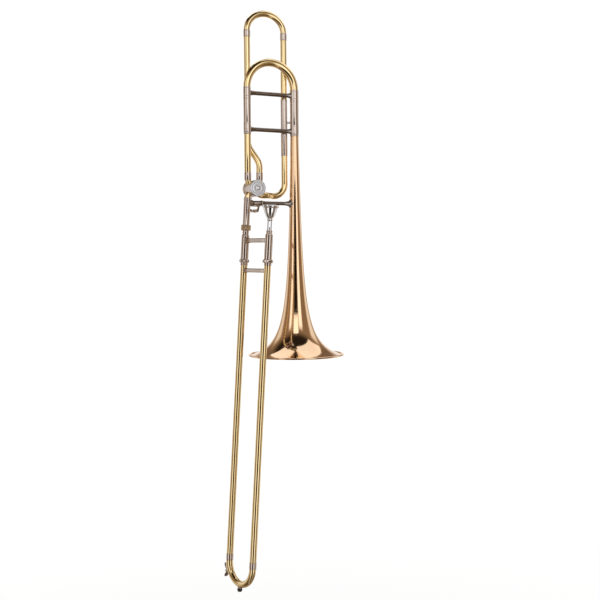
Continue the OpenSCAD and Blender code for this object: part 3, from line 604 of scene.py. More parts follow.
def sleeve_ferrule(seat_r, sleeve_r, r):
    """Outline of the ferrule round the foot of an outer tuning sleeve."""
    top = FERRULE_Z + 25
    outline = [(seat_r, FERRULE_Z), (r - 0.45, FERRULE_Z), (r, FERRULE_Z + 0.8)]
    for rise in (2.6, 4.2, 22.4):
        outline += groove(r, FERRULE_Z + rise)
    return outline + [(r, top), (sleeve_r, top), (sleeve_r, SLEEVE_Z), (seat_r, SLEEVE_Z)]


def main_brace(name, z, r_neck, r_bell, body, node):
    end = foot(6.2, 4.6, 1.0, 12)
    bar = brace(SPACING, end, end, round_skin(r_neck), round_skin(r_bell), shift(-SPACING, 0, z))
    # the brace gets the darker copy of nickel silver, which is painted shade
    add_piece(name, [bar], body, "nickel_silver", node, "brace_nickel_painted_shade")


add_piece("bell_spun", [bell_solid()], BELL, "gold_brass", "bell")
for side, place, seat_r, sleeve_r, ferrule_r in (
        ("bell", HERE, bell_r(FERRULE_Z) + 0.01, BELL_SLEEVE_R, BELL_FERRULE_R),
        ("neck", NECK, LEG_R, NECK_SLEEVE_R, NECK_FERRULE_R)):
    turned(side + "_ferrule_turned", sleeve_ferrule(seat_r, sleeve_r, ferrule_r), place,
           BELL, "nickel_silver", side + "_ferrule", edge=0.1)
    sleeve = pipe(sleeve_r, sleeve_r - 0.4, SLEEVE_Z, SPLIT_Z - 0.1, bead=0.18)
    turned(side + "_side_sleeve_tube", sleeve, place, BELL, "nickel_silver", side + "_side_sleeve", edge=0.08)
turned("main_leg_drawn_tube", pipe(LEG_R, LEG_R - 0.4, 394, SLEEVE_Z - 0.2), NECK,
       BELL, "yellow_brass", "main_leg_tube", edge=0.1)
main_brace("lower_main_brace_bar", LOWER_BRACE_Z, NECK_FERRULE_R, BELL_FERRULE_R, BELL, "lower_main_brace")

# ---------------------------------------------------------------- rotary valve


def direction(angle):
    return Vector((math.cos(math.radians(angle)), math.sin(math.radians(angle))))


def cross2(a, b):
    return a[0] * b[1] - a[1] * b[0]


def port_start(out, bend, point, heading):
    """How far out a port starts to bend, so that its straight end runs through point along heading."""
    sign = 1 if bend > 0 else -1
    a, b = math.radians(out), math.radians(out + bend)
    reach = KNUCKLE_BEND * sign * Vector((math.sin(b) - math.sin(a), math.cos(a) - math.cos(b)))
    return cross2(Vector(point) - reach, heading) / cross2(direction(out), heading)


def knuckle(out, bend, start, tail):
    """One port bend: out of the casing, round, and straight on by tail."""
    radius = KNUCKLE_BEND if bend > 0 else -KNUCKLE_BEND
    centre = direction(out) * start + direction(out + 90) * radius
    steps = 20
    points = [centre - direction(out + bend * s / steps + 90) * radius for s in range(steps + 1)]
    points.append(points[-1] + direction(out + bend) * tail)
    verts, faces = sweep([((p.x, p.y, 0), KNUCKLE_R, KNUCKLE_R - 0.6) for p in points])
    skin = CASING_R - 0.25
    moved = []
    for v in verts:
        flat = Vector((v.x, v.y))
        if flat.length < skin and abs(v.z) < KNUCKLE_R + 1:
            flat = flat.normalized() * skin
        moved.append(VALVE @ Vector((flat.x, flat.y, v.z)))
    return moved, faces


side_start = port_start(45, 45, (PORT, 0), (0, 1))
neck_heading = -90 - TILT
neck_bend = neck_heading - 225 + 360
neck_start = port_start(225, neck_bend, (-SPACING - VALVE_X, SLIDE_Z - VALVE_Z), direction(neck_heading))
add_piece("valve_port_bends", [
    knuckle(45, 45, side_start, 2.0),
    knuckle(135, -45, side_start, 2.0),
    knuckle(-45, 45, side_start, 0.4),
    knuckle(225, neck_bend, neck_start, 3.0)], BELL, "yellow_brass", "valve_knuckles")

casing = [(CASING_BORE, -17), (CASING_BORE, 20), (17.6, 20), (CASING_R, 19.4)]
for z in (16.5, -16.5):
    casing += [(CASING_R, z + 0.7), (17.75, z + 0.3), (17.75, z - 0.3), (CASING_R, z - 0.7)]
casing += [(CASING_R, -19.4), (17.6, -20), (8, -20), (8, -22), (4.05, -22), (4.05, -17)]
turned("valve_casing_turned", casing, VALVE, BELL, "nickel_silver", "valve_casing", sides=128, edge=0.12)

port_ferrule = [(7.25, 390), (7.3, 390), (7.6, 390.5)] + groove(7.6, 391.8) + groove(7.6, 404.6)
port_ferrule += [(7.6, 407), (7.2, 407), (7.2, 394), (7.25, 394)]
add_piece("valve_ferrules_turned", [
    lathe(port_ferrule, shift(VALVE_X + x, 0, 0), edge=0.08) for x in (-PORT, PORT)],
    BELL, "nickel_silver", "valve_ferrules")


def cap_ripple(angle, r, h):
    """A fine milled edge round the screw cap."""
    if r < 17.7 or h > 24.2:
        return r
    return r - 0.16 * (0.5 + 0.5 * math.cos(angle * 96))


cap = [(CASING_BORE, 20.05), (18.0, 20.05), (18.0, 20.6), (18.0, 24.1), (17.3, 25.0), (13.6, 25.05)]
cap += [(13.4, 24.8), (12.9, 24.8), (12.7, 25.05), (6.6, 25.05), (6.3, 24.7), (5.6, 24.7), (5.4, 25.0)]
cap += [(0, 25.0), (0, 21.6), (CASING_BORE, 21.6)]
turned("valve_cap_turned", cap, VALVE, BELL, "valve_cap_metal", "valve_cap",
       sides=384, edge=0.1, ripple=cap_ripple)
hub = [(0, 24.8), (4.3, 24.8)] + arc_points(4.3, 0, 75, 5, (0, 24.9), 2.0)
hub += [(0.9, 26.8), (0.7, 26.3), (0, 26.3)]
turned("valve_cap_hub", hub, VALVE, BELL, "silver_plate", "valve_cap", sides=64, edge=0.15)

sector = arc_points(17.4, 100, 260, 40) + arc_points(9, 260, 100, 24)
add_piece("stop_plate_cut", [plate(sector, 2, VALVE @ shift(0, 0, -22), edge=0.25)],
          BELL, "nickel_silver", "stop_plate")
STOP_TURN = 71
bumper = [(0, -27.5), (2.4, -27.5), (2.95, -27.0), (3.0, -26.2), (2.85, -24.6), (3.0, -23.0), (3.0, -22.1)]
bumper.append((0, -22.1))
add_piece("stop_bumpers_turned", [
    lathe(bumper, VALVE @ turn(180 + side * STOP_TURN, "Z") @ shift(13, 0, 0), sides=32, edge=0.2)
    for side in (-1, 1)], BELL, "black_rubber", "stop_bumpers")

# ---------------------------------------------------------------- neckpipe and bell brace

neckpipe = [(7.0, -92.6), (8.1, -92.6)]
for i in range(8):
    z = -92.4 + i
    neckpipe += [(8.3, z), (7.95, z + 0.5)]
neckpipe += [(8.3, -84.5), (NECKPIPE_R, -84.4), (NECKPIPE_R, -29.6), (7.9, -29.0)] + groove(7.9, -27.2)
neckpipe += [(7.9, -23.4), (7.6, -23), (7.25, -23), (7.25, -29), (7.0, -29)]
turned("neckpipe_tube", neckpipe, SLIDE, BELL, "nickel_silver", "neckpipe", edge=0.08)

lean = math.tan(math.radians(TILT))
neck_x = -SPACING - (SLIDE_Z - BELL_BRACE_Z) * lean


def neck_skin(y, z):
    return z * lean + round_skin(NECKPIPE_R)(y, z) / math.cos(math.radians(TILT))


def stem_skin(y, z):
    return round_skin(bell_r(BELL_BRACE_Z + z))(y, z)


brace_left = foot(6.0, 4.9, 1.6, 5)
brace_left += [(20.6, 4.9), (21.2, 5.3), (23.4, 5.3), (24.0, 4.9), (34.0, 4.85), (34.7, 4.15)]
brace_right = foot(9.0, 6.6, 1.1, 2) + [(5.0, 5.7), (8.0, 5.0), (11.0, 4.55), (14.0, 4.25), (17.0, 4.15)]
bar = brace(-neck_x, brace_left, brace_right, neck_skin, stem_skin, shift(neck_x, 0, BELL_BRACE_Z), 64)
# the bell brace gets the darker copy of nickel silver, which is painted shade
add_piece("bell_brace_bar", [bar], BELL, "nickel_silver", "bell_brace", "brace_nickel_painted_shade")

# ---------------------------------------------------------------- thumb lever and linkage

LEVER_X0 = -106
LEVER_X1 = -83
LUG = 1.8
PIN_R = 1.6

web = [(-LEVER_Y + 4.6, -0.2), (0.4, -3.4), (2.6, -2.4), (3.4, 0), (2.6, 2.4), (0.6, 3.5), (-3.8, 6.2)]
saddle = []
for x in (LEVER_X0 - 1.9, LEVER_X1 + 0.1):
    ring_at = shift(x, 0, BELL_BRACE_Z) @ ALONG_X
    saddle.append(lathe(pipe(6.1, 4.95, 0, LUG), ring_at, 48, 0.2))
    saddle.append(plate(web, LUG, about_lever(x), 0.2))
add_piece("lever_saddle_lugs", saddle, BELL, "nickel_silver", "lever_saddle")

pin = [(0, -3), (2.2, -3), (2.6, -2.6), (2.6, -2), (PIN_R, -1.9), (PIN_R, 25.8), (1.2, 26), (0, 26)]
turned("lever_pin_screw", pin, about_lever(LEVER_X0), BELL, "spring_steel", "lever_pin", sides=40, edge=0.12)
lever_coil = coil(2.75, 0.5, 1.12, 6, about_lever(LEVER_X0 + 1.1), ((4.5, -1.6, 6.9), (9.5, -3.2, 6.9)))
add_piece("lever_spring_coil", [lever_coil], BELL, "spring_steel", "lever_spring")

hinge_tube = lathe(pipe(3.6, 1.65, LEVER_X0 + 9, LEVER_X1 - 0.1), about_lever(0), 48, 0.3)
link_half = [(-1.5, -2.4), (6, -2.1), (16, -1.8), (20.5, -2.2)]
link_arm = plate(mirrored(link_half, arc_points(2.6, -60, 60, 12, (LINK_ARM, 0))), 3,
                 about_lever(LINK_X - 1.5) @ turn(LINK_REST, "Z"), 0.35)
drop = [(1.6, -10), (5.2, -15), (12, -16), (24.5, -16), (24.5, -12), (13, -12.1), (7.2, -11.2), (4.4, -7)]
drop += [(2.6, -2.4), (-2, -2)]
drop_arm = plate(drop, 4, about_lever(LEVER_X1 - 4.1), 0.4)


def thumb_pad():
    """The touch piece: a shallow trough that narrows towards both ends."""
    cx, cz = -94.5, 331.5
    trough_r = 10.2
    half_wall = 0.8
    stations = 14
    arc = arc_points(1, 201, 339, 24)
    verts = []
    for j in range(stations + 1):
        k = j / stations
        y = LEVER_Y + mix(2.5, 24.5, k)
        wide = mix(0.72, 1.0, math.sin(math.pi * k) ** 0.35 if 0 < j < stations else 0.0)
        for wall, points in ((half_wall, arc), (-half_wall, arc[::-1])):
            for x, z in points:
                verts.append(Vector((cx + x * (trough_r * wide + wall), y, cz + z * (trough_r + wall))))
    count = 2 * len(arc)
    return verts, strips_between(stations + 1, count) + lids(stations + 1, count)


add_piece("thumb_lever_cast", [hinge_tube, link_arm, drop_arm, thumb_pad()],
          "thumb_lever_unit", "nickel_silver", "thumb_lever")

PIN_OUT = 8  # the stop arm's pin, from the rotor's axis
LINK_Y = LEVER_Y + LINK_ARM * math.cos(math.radians(LINK_REST))
LINK_Z = LEVER_Z + LINK_ARM * math.sin(math.radians(LINK_REST))
EYE_Z = VALVE_Z + PIN_OUT * math.sin(math.radians(45))
ROD = shift(LINK_X, LINK_Y, LINK_Z)
ROD_TOP = EYE_Z - LINK_Z - 3.2
EYE = shift(LINK_X, LINK_Y + 1.5, EYE_Z) @ turn(90, "X")

cheek = arc_points(2.6, 180, 360, 14) + [(2.6, 4.6), (-2.6, 4.6)]
linkage = [plate(cheek, LUG, ROD @ shift(x, 0, 0) @ turn(90, "Z") @ turn(90, "X"), 0.25) for x in (-3.6, 1.8)]
linkage.append(plate([(-3.6, 0), (3.6, 0), (3.6, 2), (2.2, 3.4), (-2.2, 3.4), (-3.6, 2)], 5.2,
                     ROD @ shift(0, 2.6, 3.7) @ turn(90, "X"), 0.3))
linkage.append(lathe([(0, 5), (1.5, 5), (1.5, 12), (1.9, 12.5), (1.9, 14.5), (1.5, 15), (1.5, ROD_TOP),
                      (0, ROD_TOP)], ROD, 32, 0.15))
for x0, x1, z0, z1, edge in (
        (-5.2, 5.2, -3.6, -1.8, 0.3), (-5.2, 5.2, 1.8, 3.6, 0.3),
        (-5.2, -3.2, -2.4, 2.4, 0.1), (3.2, 5.2, -2.4, 2.4, 0.1)):
    linkage.append(plate([(x0, z0), (x1, z0), (x1, z1), (x0, z1)], 3, EYE, edge))
add_piece("linkage_rod_turned", linkage, "linkage_unit", "nickel_silver", "linkage_rod")

ARM = VALVE @ turn(45, "Z")
ARM_FRONT = -22.5
arm_outline = arc_points(6.8, 22, 158, 20) + [(-14.6, 2.5), (-15, 2.1), (-15, -2.1), (-14.6, -2.5)]
arm_outline += arc_points(6.8, 202, 338, 20)
arm_outline += mirrored([(PIN_OUT, -2.5)], arc_points(2.0, -70, 70, 10, (PIN_OUT, 0)))
stop_body = plate(arm_outline, 4, ARM @ shift(0, 0, ARM_FRONT - 4.2), 0.3)
stop_pin = lathe([(0, -2), (1.5, -2), (1.5, -11.2), (2.6, -11.3), (2.6, -12.0), (2.2, -12.2), (0, -12.2)],
                 ARM @ shift(PIN_OUT, 0, ARM_FRONT), 32, 0.12)
screw = lathe([(0, -4.1), (3.6, -4.1), (3.6, -4.9), (2.4, -5.7), (0, -5.9)],
              VALVE @ shift(0, 0, ARM_FRONT), 40, 0.2)
add_piece("stop_arm_milled", [stop_body, stop_pin, screw], "rotor_unit", "nickel_silver", "stop_arm")

# ---------------------------------------------------------------- attachment tubing

LEFT_LEG = shift(F_LEFT, F_BACK, 0)
RIGHT_LEG = shift(F_RIGHT, F_BACK, 0)


def f_tube(points):
    return sweep([(p, F_R, F_R - 0.4) for p in points])


def upper_branch():
    """Down from the left leg and forwards in an S to the valve's upper port."""
    top, base = 475, 420
    steps = 44
    points = []
    for z in [394, 407] + [mix(base, top, i / steps) for i in range(steps + 1)] + [496]:
        k = smooth((top - z) / (top - base))
        points.append((mix(F_LEFT, VALVE_X + PORT, k), mix(F_BACK, 0, k), z))
    return f_tube(points)


def lower_branch():
    """From the valve's lower port to the right and back, then round an elbow up to the right leg."""
    corner = math.radians(45)
    tube_z = VALVE_Z - side_start * math.sin(corner) - KNUCKLE_BEND * (1 - math.sin(corner))
    start_x = VALVE_X + side_start * math.cos(corner) + KNUCKLE_BEND * math.sin(corner)
    bend_r = 28
    end_x = F_RIGHT - bend_r
    steps = 26
    points = []
    for i in range(steps + 1):
        k = i / steps
        points.append((mix(start_x, end_x, k), F_BACK * smooth((k - 0.1) / 0.9), tube_z))
    for x, z in arc_points(bend_r, -90, 0, steps, (end_x, tube_z + bend_r))[1:]:
        points.append((x, F_BACK, z))
    return f_tube(points + [(F_RIGHT, F_BACK, 453.5)])


def stay(p, q, z, r_p, r_q):
    """A short stay between two upright tubes, with small feet."""
    a, b = Vector((*p, z)), Vector((*q, z))
    step = (b - a).normalized()
    start, end = a + step * (r_p - 0.5), b - step * (r_q - 0.5)
    end_rows = ((0, 3.4), (0.6, 3.4), (1.0, 2.9), (1.6, 2.3))
    rows = [(start + step * at, r) for at, r in end_rows]
    rows += [(end - step * at, r) for at, r in reversed(end_rows)]
    return rod(rows, 32)


add_piece("upper_branch_bent", [upper_branch()], BELL, "yellow_brass", "upper_branch")
add_piece("lower_branch_bent", [lower_branch()], BELL, "yellow_brass", "lower_branch")
for side, place, low in (("left", LEFT_LEG, 490), ("right", RIGHT_LEG, 447.5)):
    turned(f"f_sleeve_{side}_tube", pipe(F_SLEEVE_R, 7.0, low, 573, lines=(low + 2.5,), bead=0.16), place,
           BELL, "nickel_silver", f"f_sleeve_{side}", edge=0.08)
add_piece("f_stays_bars", [
    stay((F_RIGHT, F_BACK), (0, 0), 521.5, F_SLEEVE_R, BELL_SLEEVE_R),
    stay((F_LEFT, F_BACK), (-SPACING, 0), 539.5, F_SLEEVE_R, NECK_SLEEVE_R)],
    BELL, "nickel_silver", "f_stays")

F_SLIDE = "f_tuning_slide"
f_bow = bow(LEFT_LEG @ shift(0, 0, F_FERRULE_Z + 15), F_RIGHT - F_LEFT, F_RISE, 5, F_R, F_R, 0.4, 90, 64)
add_piece("f_bow_bent", [f_bow], F_SLIDE, "yellow_brass", "f_bow")
f_ferrule = [(F_R, 0), (7.3, 0), (7.55, 0.5)] + groove(7.55, 2) + groove(7.55, 13.6)
f_ferrule += [(7.55, 15.1), (7.3, 15.5), (F_R, 15.5)]
add_piece("f_bow_ferrules_turned", [
    lathe(f_ferrule, place @ shift(0, 0, F_FERRULE_Z), edge=0.08) for place in (LEFT_LEG, RIGHT_LEG)],
    F_SLIDE, "nickel_silver", "f_bow_ferrules")
add_piece("f_legs_drawn", [
    lathe(pipe(F_R, F_R - 0.4, 497, F_FERRULE_Z + 9.9), place, edge=0.1) for place in (LEFT_LEG, RIGHT_LEG)],
    F_SLIDE, "yellow_brass", "f_legs")

# ---------------------------------------------------------------- main tuning slide

MAIN_SLIDE = "main_tuning_slide"
NECK_FIT = 0.2
BELL_FIT = 0.15
FERRULE_WALL = 0.65
main_bow = bow(NECK @ shift(0, 0, BOW_Z), SPACING, SPACING / 2, 5,
               NECK_LEG_R + NECK_FIT, BELL_LEG_R + BELL_FIT, 0.6, 110, 72)
add_piece("main_bow_bent", [main_bow], MAIN_SLIDE, "yellow_brass", "main_bow")


def bow_ferrule(place, r, fit):
    """The ferrule between a bow's end, which is wider by fit, and its leg of radius r."""
    o = r + FERRULE_WALL
    top_z = BOW_Z + 0.8
    outline = [(r, SPLIT_Z), (o + 0.12, SPLIT_Z), (o + 0.12, SPLIT_Z + 1.6), (o, SPLIT_Z + 2.1)]
    outline += groove(o, SPLIT_Z + 4.4) + groove(o, BOW_Z - 2.4) + [(o, top_z - 0.3), (o - 0.25, top_z)]
    outline += [(r + fit, top_z), (r + fit, BOW_Z - 5), (r, BOW_Z - 5)]
    return lathe(outline, place, edge=0.08)


add_piece("main_bow_ferrules_turned", [
    bow_ferrule(NECK, NECK_LEG_R, NECK_FIT), bow_ferrule(HERE, BELL_LEG_R, BELL_FIT)],
    MAIN_SLIDE, "nickel_silver", "main_bow_ferrules")
add_piece("main_inner_legs_drawn", [
    lathe(pipe(r, r - 0.4, low, BOW_Z - 5.1), place, edge=0.1)
    for place, r, low in ((NECK, NECK_LEG_R, 497), (HERE, BELL_LEG_R, 513))],
    MAIN_SLIDE, "slide_chrome", "main_inner_legs")
main_brace("upper_main_brace_bar", UPPER_BRACE_Z, NECK_LEG_R + FERRULE_WALL, BELL_LEG_R + FERRULE_WALL,
           MAIN_SLIDE, "upper_main_brace")

# ---------------------------------------------------------------- slide coupling and inner slide


def nut_ripple(angle, r, h):
    """Diamond knurling on the nut's barrel, fading at both ends."""
    if r < 10.2 or h < -94.4 or h > -84.2:
        return r
    u = angle * 30
    v = h * TAU / 1.5
    fade = min(1, (h + 94.4) / 0.6, (-84.2 - h) / 0.6)
    return r - 0.42 * fade * (1 - abs(math.sin((u + v) / 2)) * abs(math.sin((u - v) / 2)))


nut = [(7.05, -95.6), (9.3, -95.6), (10.4, -95.0), (10.7, -94.5)]
nut += [(10.9, -94.3 + 0.25 * i) for i in range(41)]
nut += [(10.7, -84.1), (10.4, -83.6), (9.3, -83.0), (8.4, -83), (8.4, -93), (7.05, -93)]
turned("coupling_nut_knurled", nut, SLIDE, "coupling_nut_unit", "nut_bronze", "coupling_nut",
       sides=300, edge=0, ripple=nut_ripple)

INNER = "inner_slide"
LEGS = (("neck", SLIDE), ("mouthpiece", MOUTH))
tenon = [(6.35, -104.4), (6.95, -104.4), (6.95, -99.8), (7.35, -99.5), (7.35, -98.6), (6.95, -98.3)]
tenon += [(6.95, -63), (6.35, -63)]
turned("slide_tenon_turned", tenon, SLIDE, INNER, "nickel_silver", "slide_tenon", edge=0.1)

barrel = [(INNER_R, -104.4), (7.4, -104.4), (8.0, -105.0), (8.0, -105.6), (8.3, -105.9), (BARREL_R, -106.6)]
for z in (-108.2, -110.0):
    barrel += [(BARREL_R, z + 0.35), (8.32, z + 0.1), (8.32, z - 0.1), (BARREL_R, z - 0.35)]
barrel += [(BARREL_R, -156.2), (BARREL_R, -161), (7.9, -161), (7.9, -112.4), (INNER_R, -112.4)]
for side, place in LEGS:
    turned(side + "_barrel_turned", barrel, place, INNER, "nickel_silver", side + "_barrel", edge=0.1)

bore = INNER_R - 0.35
inner_tube = [(bore, -799), (6.8, -799), (7.0, -798.4), (7.0, -689.6), (6.96, -689.2), (INNER_R, -688.6)]
inner_tube += [(INNER_R, -104.6), (bore, -104.6)]
for side, place in LEGS:
    turned(side + "_inner_tube_drawn", inner_tube, place,
           INNER, "slide_chrome", side + "_inner_tube", edge=0.05)
cork_ring = pipe(7.9, INNER_R, -149.6, -145.6)
add_piece("barrel_corks_rings", [lathe(cork_ring, place, edge=0.15) for side, place in LEGS],
          INNER, "cork", "barrel_corks")


def end_ring_ripple(angle, r, h):
    """Forty-eight fine flutes round the end ring."""
    if r < 10.6:
        return r
    return r - 0.35 * (0.5 - 0.5 * math.cos(angle * 48))


def lock_ripple(angle, r, h):
    """Twelve rounded bumps round the lock ring for the fingers."""
    if r < 11.1:
        return r
    return r - 0.75 * abs(math.sin(angle * 6 + math.pi / 2)) ** 0.8 + 0.35


end_ring = [(7.65, -165.6), (9.5, -165.6), (10.1, -165.0), (10.1, -164.4), (10.7, -164.0), (10.7, -163.2)]
end_ring += [(10.7, -162.3), (10.7, -161.0), (10.7, -159.6), (10.1, -159.2), (9.9, -158.6), (9.2, -158.0)]
end_ring += [(8.5, -158.0), (8.5, -161), (7.65, -161)]
turned("neck_end_ring_milled", end_ring, SLIDE, INNER, "nickel_silver", "neck_end_ring",
       sides=288, edge=0.1, ripple=end_ring_ripple)
lock = [(7.65, -165.6), (10.2, -165.6), (10.8, -165.0), (10.8, -164.5), (11.2, -164.0), (11.2, -163.0)]
lock += [(11.2, -161.8), (11.2, -160.6), (10.8, -159.6), (10.8, -158.9), (10.3, -158.3), (9.4, -158.0)]
lock += [(8.55, -158.0), (8.55, -161), (10.35, -161.1), (10.35, -163.7), (8.4, -163.7)]
turned("lock_ring_milled", lock, MOUTH, "lock_ring_unit", "nickel_silver", "lock_ring",
       sides=288, edge=0.1, ripple=lock_ripple)


def slide_brace(at, r, skin_r, feet, flares):
    """A bar across the slide; feet and flares give each foot's radius and length."""
    left = foot(feet[0], r, 1.1, flares[0])
    right = foot(feet[1], r, 1.1, flares[1])
    return brace(SLIDE_W, left, right, round_skin(skin_r), round_skin(skin_r), SLIDE @ shift(0, 0, at))


add_piece("left_hand_brace_bar", [slide_brace(-117.3, 4.9, BARREL_R, (7.2, 6.6), (15, 11))],
          INNER, "nickel_silver", "left_hand_brace")
receiver = [(4.6, -127.4), (6.1, -127.4), (6.4, -126.8), (6.4, -112.0), (6.4, -99.6), (6.9, -99.2)]
receiver += [(7.0, -98.4), (6.9, -97.2), (6.5, -96.9), (5.55, -96.9), (5.1, -126), (4.6, -126)]
turned("mouthpiece_receiver_turned", receiver, MOUTH, INNER, "nickel_silver", "mouthpiece_receiver", edge=0.1)

# ---------------------------------------------------------------- mouthpiece


def curve(a, b, c, d, steps=26):
    """Points of a cubic bezier curve."""
    out = []
    for s in range(steps + 1):
        k = s / steps
        weights = ((1 - k) ** 3, 3 * k * (1 - k) ** 2, 3 * k * k * (1 - k), k ** 3)
        out.append(tuple(sum(w * p[i] for w, p in zip(weights, (a, b, c, d))) for i in (0, 1)))
    return out


RIM = 18.2
cup = arc_points(3.2, 90, -70, 14, (RIM - 3.2, -3.2)) + [(RIM - 2.9, -6.6), (RIM - 3.3, -7.0)]
cup += curve((RIM - 3.4, -7.6), (RIM - 5.0, -14), (RIM - 6.8, -23), (5.6, -28))
cup += arc_points(1.7, 70, -70, 8, (4.7, -31.6), 2.2) + [(5.0, -34.6), (5.0, -35.4), (5.3, -36.2)]
cup += [(5.5, -53.5), (5.5, -54.5), (5.0, -84), (4.1, -84), (3.4, -30)]
cup += curve((3.4, -26.5), (4.2, -20), (12.2, -16), (12.8, -2.6)) + arc_points(1.4, 180, 110, 5, (14.2, -1.4))
turned("mouthpiece_turned", cup, MOUTH @ shift(0, 0, -42.4), "mouthpiece_unit", "silver_plate", "mouthpiece",
       sides=112, edge=0)

# ---------------------------------------------------------------- outer slide

OUTER = "outer_slide"
CROOK_LOW = CROOK_AT - SLIDE_W / 2 - OUTER_R
CROOK_SKIN = OUTER_R - 0.05
MIDDLE = SLIDE @ shift(SLIDE_W / 2, 0, 0)
outer_tube = [(OUTER_BORE, -812), (OUTER_R, -812), (OUTER_R, -150.5), (7.2, -150), (OUTER_BORE, -150)]
for side, place in LEGS:
    turned(side + "_outer_tube_drawn", outer_tube, place,
           OUTER, "yellow_brass", side + "_outer_tube", edge=0.05)

band = [(OUTER_R, -171.4), (7.8, -171.4), (8.05, -170.9), (8.05, -169.8), (7.85, -169.5), (8.05, -169.2)]
band += [(8.05, -166.9), (7.8, -166.4), (OUTER_R, -166.4)]
lug_sleeve = pipe(8.2, OUTER_R, -166.4, -161.5)
lock_lug = arc_points(10, -9, 9, 8) + arc_points(8.1, 9, -9, 4)
add_piece("outer_bands_turned", [
    lathe(band, SLIDE, edge=0.08), lathe(band, MOUTH, edge=0.08), lathe(lug_sleeve, MOUTH, edge=0.08),
    plate(lock_lug, 1.8, MOUTH @ shift(0, 0, -163.3), 0.15)], OUTER, "nickel_silver", "outer_bands")
add_piece("right_hand_brace_bar", [slide_brace(-182.2, 4.6, OUTER_R, (6.2, 6.2), (11, 11))],
          OUTER, "nickel_silver", "right_hand_brace")
crook_ferrule = [(OUTER_R, CROOK_AT), (7.6, CROOK_AT), (7.85, CROOK_AT + 0.6)]
for z in (CROOK_AT + 2.2, CROOK_AT + 12.2):
    crook_ferrule += [(7.85, z - 0.4), (7.7, z - 0.2), (7.7, z + 0.2), (7.85, z + 0.4)]
crook_ferrule += [(7.85, CROOK_AT + 13.6), (7.6, CROOK_AT + 14.2), (OUTER_R, CROOK_AT + 14.2)]
add_piece("crook_ferrules_turned", [lathe(crook_ferrule, place, edge=0.06) for side, place in LEGS],
          OUTER, "nickel_silver", "crook_ferrules")
crook = bow(SLIDE @ shift(0, 0, CROOK_AT), SLIDE_W, -SLIDE_W / 2, -5.8, OUTER_R, OUTER_R, 0.6, 100, 64)
add_piece("slide_crook_bent", [crook], OUTER, "yellow_brass", "slide_crook")


def bumper_socket():
    """A small socket whose top follows the crook's lowest skin."""
    profile = ((0, 1.6), (5.0, 1.6), (4.8, -0.2), (4.6, -1.0), (4.6, -1.6), (2, -1.7), (2, -6), (0, -6))
    verts, faces = lathe([(r, CROOK_LOW + h) for r, h in profile], HERE, 48, 0.12)
    lifted = []
    for v in verts:
        ring = SLIDE_W / 2 + math.sqrt(max(CROOK_SKIN ** 2 - v.y ** 2, 0))
        limit = CROOK_AT - math.sqrt(max(ring ** 2 - v.x ** 2, 0))
        lifted.append(MIDDLE @ Vector((v.x, v.y, min(v.z, limit))))
    return lifted, faces


add_piece("bumper_socket_turned", [bumper_socket()], OUTER, "nickel_silver", "bumper_socket")
tip = [(0, -8.2), (2.2, -8.15), (3.8, -7.6), (4.8, -6.6), (5.3, -5.2), (5.4, -3.8), (5.3, -1.6), (5.0, -0.3)]
tip += [(4.8, 0), (2.05, 0), (2.05, -4.5), (0, -4.5)]
turned("slide_bumper_moulded", tip, MIDDLE @ shift(0, 0, CROOK_LOW - 1.6),
       OUTER, "black_rubber", "slide_bumper", sides=64, edge=0.2)

# ---------------------------------------------------------------- water key

HINGE_OUT = 5.4
NIPPLE_OUT = 5
HINGE = on_crook(27)
HINGE_PIN = HINGE @ shift(HINGE_OUT, 0, 0)
NIPPLE = on_crook(13) @ ALONG_X
KEY = "water_key_unit"


def crook_hug(solid):
    """Keeps a small fitting's corners outside the crook's tube."""
    verts, faces = solid
    back = CROOK.inverted()
    out = []
    for v in verts:
        p = back @ v
        ring = Vector((p.x, p.y))
        centre = ring.normalized() * SLIDE_W / 2
        away = Vector((ring.x - centre.x, ring.y - centre.y, p.z))
        if away.length < CROOK_SKIN:
            away = away.normalized() * CROOK_SKIN
            p = Vector((centre.x + away.x, centre.y + away.y, away.z))
        out.append(CROOK @ p)
    return out, faces


nipple_turned = [(1.7, -1.2), (4.4, -1.2), (3.7, 0.6), (3.2, 1.6), (3.2, 4.4), (2.9, 5), (1.7, 5)]
nipple = lathe(nipple_turned, NIPPLE, 40, 0.12)
cheek = mirrored([(-1.6, -2.6), (2.4, -2.1)], arc_points(2.2, -80, 80, 12, (HINGE_OUT, 0)))
lugs = [crook_hug(plate(cheek, 1.5, HINGE @ shift(0, 0, side * 3.6 - 0.75), 0.2)) for side in (-1, 1)]
add_piece("water_key_saddle_cast", [crook_hug(nipple)] + lugs, OUTER, "nickel_silver", "water_key_saddle")
key_pin = [(0, -4.8), (0.9, -4.8), (0.9, 4.4), (1.5, 4.4), (1.5, 4.9), (1.2, 5.2), (0, 5.2)]
turned("water_key_pin_screw", key_pin, HINGE_PIN, OUTER, "spring_steel", "water_key_pin", sides=32, edge=0.08)
add_piece("water_key_spring_coils", [
    coil(1.5, 0.2, 0.42, 3, HINGE_PIN @ shift(0, 0, start), ((3.2, 2.2, 1.26), (4.3, 4.6, 1.26)))
    for start in (-2.75, 1.5)], OUTER, "spring_steel", "water_key_spring")

pad_cup = lathe([(0, 0.05), (3.5, 0.05), (3.6, 0.4), (3.3, 1.1), (2.4, 1.45), (0, 1.5)],
                NIPPLE @ shift(0, 0, NIPPLE_OUT + 2.4), 40, 0.12)
knuckle_tube = lathe(pipe(2, 0.95, -1.4, 1.4), HINGE_PIN, 32, 0.15)
arm = [(HINGE_OUT - 1, 0.4), (HINGE_OUT - 0.4, -3.0), (7.2, -6.4), (7.6, -9), (7.9, -13), (9.3, -13)]
arm += [(9.5, -8), (8.2, -4.0), (HINGE_OUT + 1.8, 0.4)]


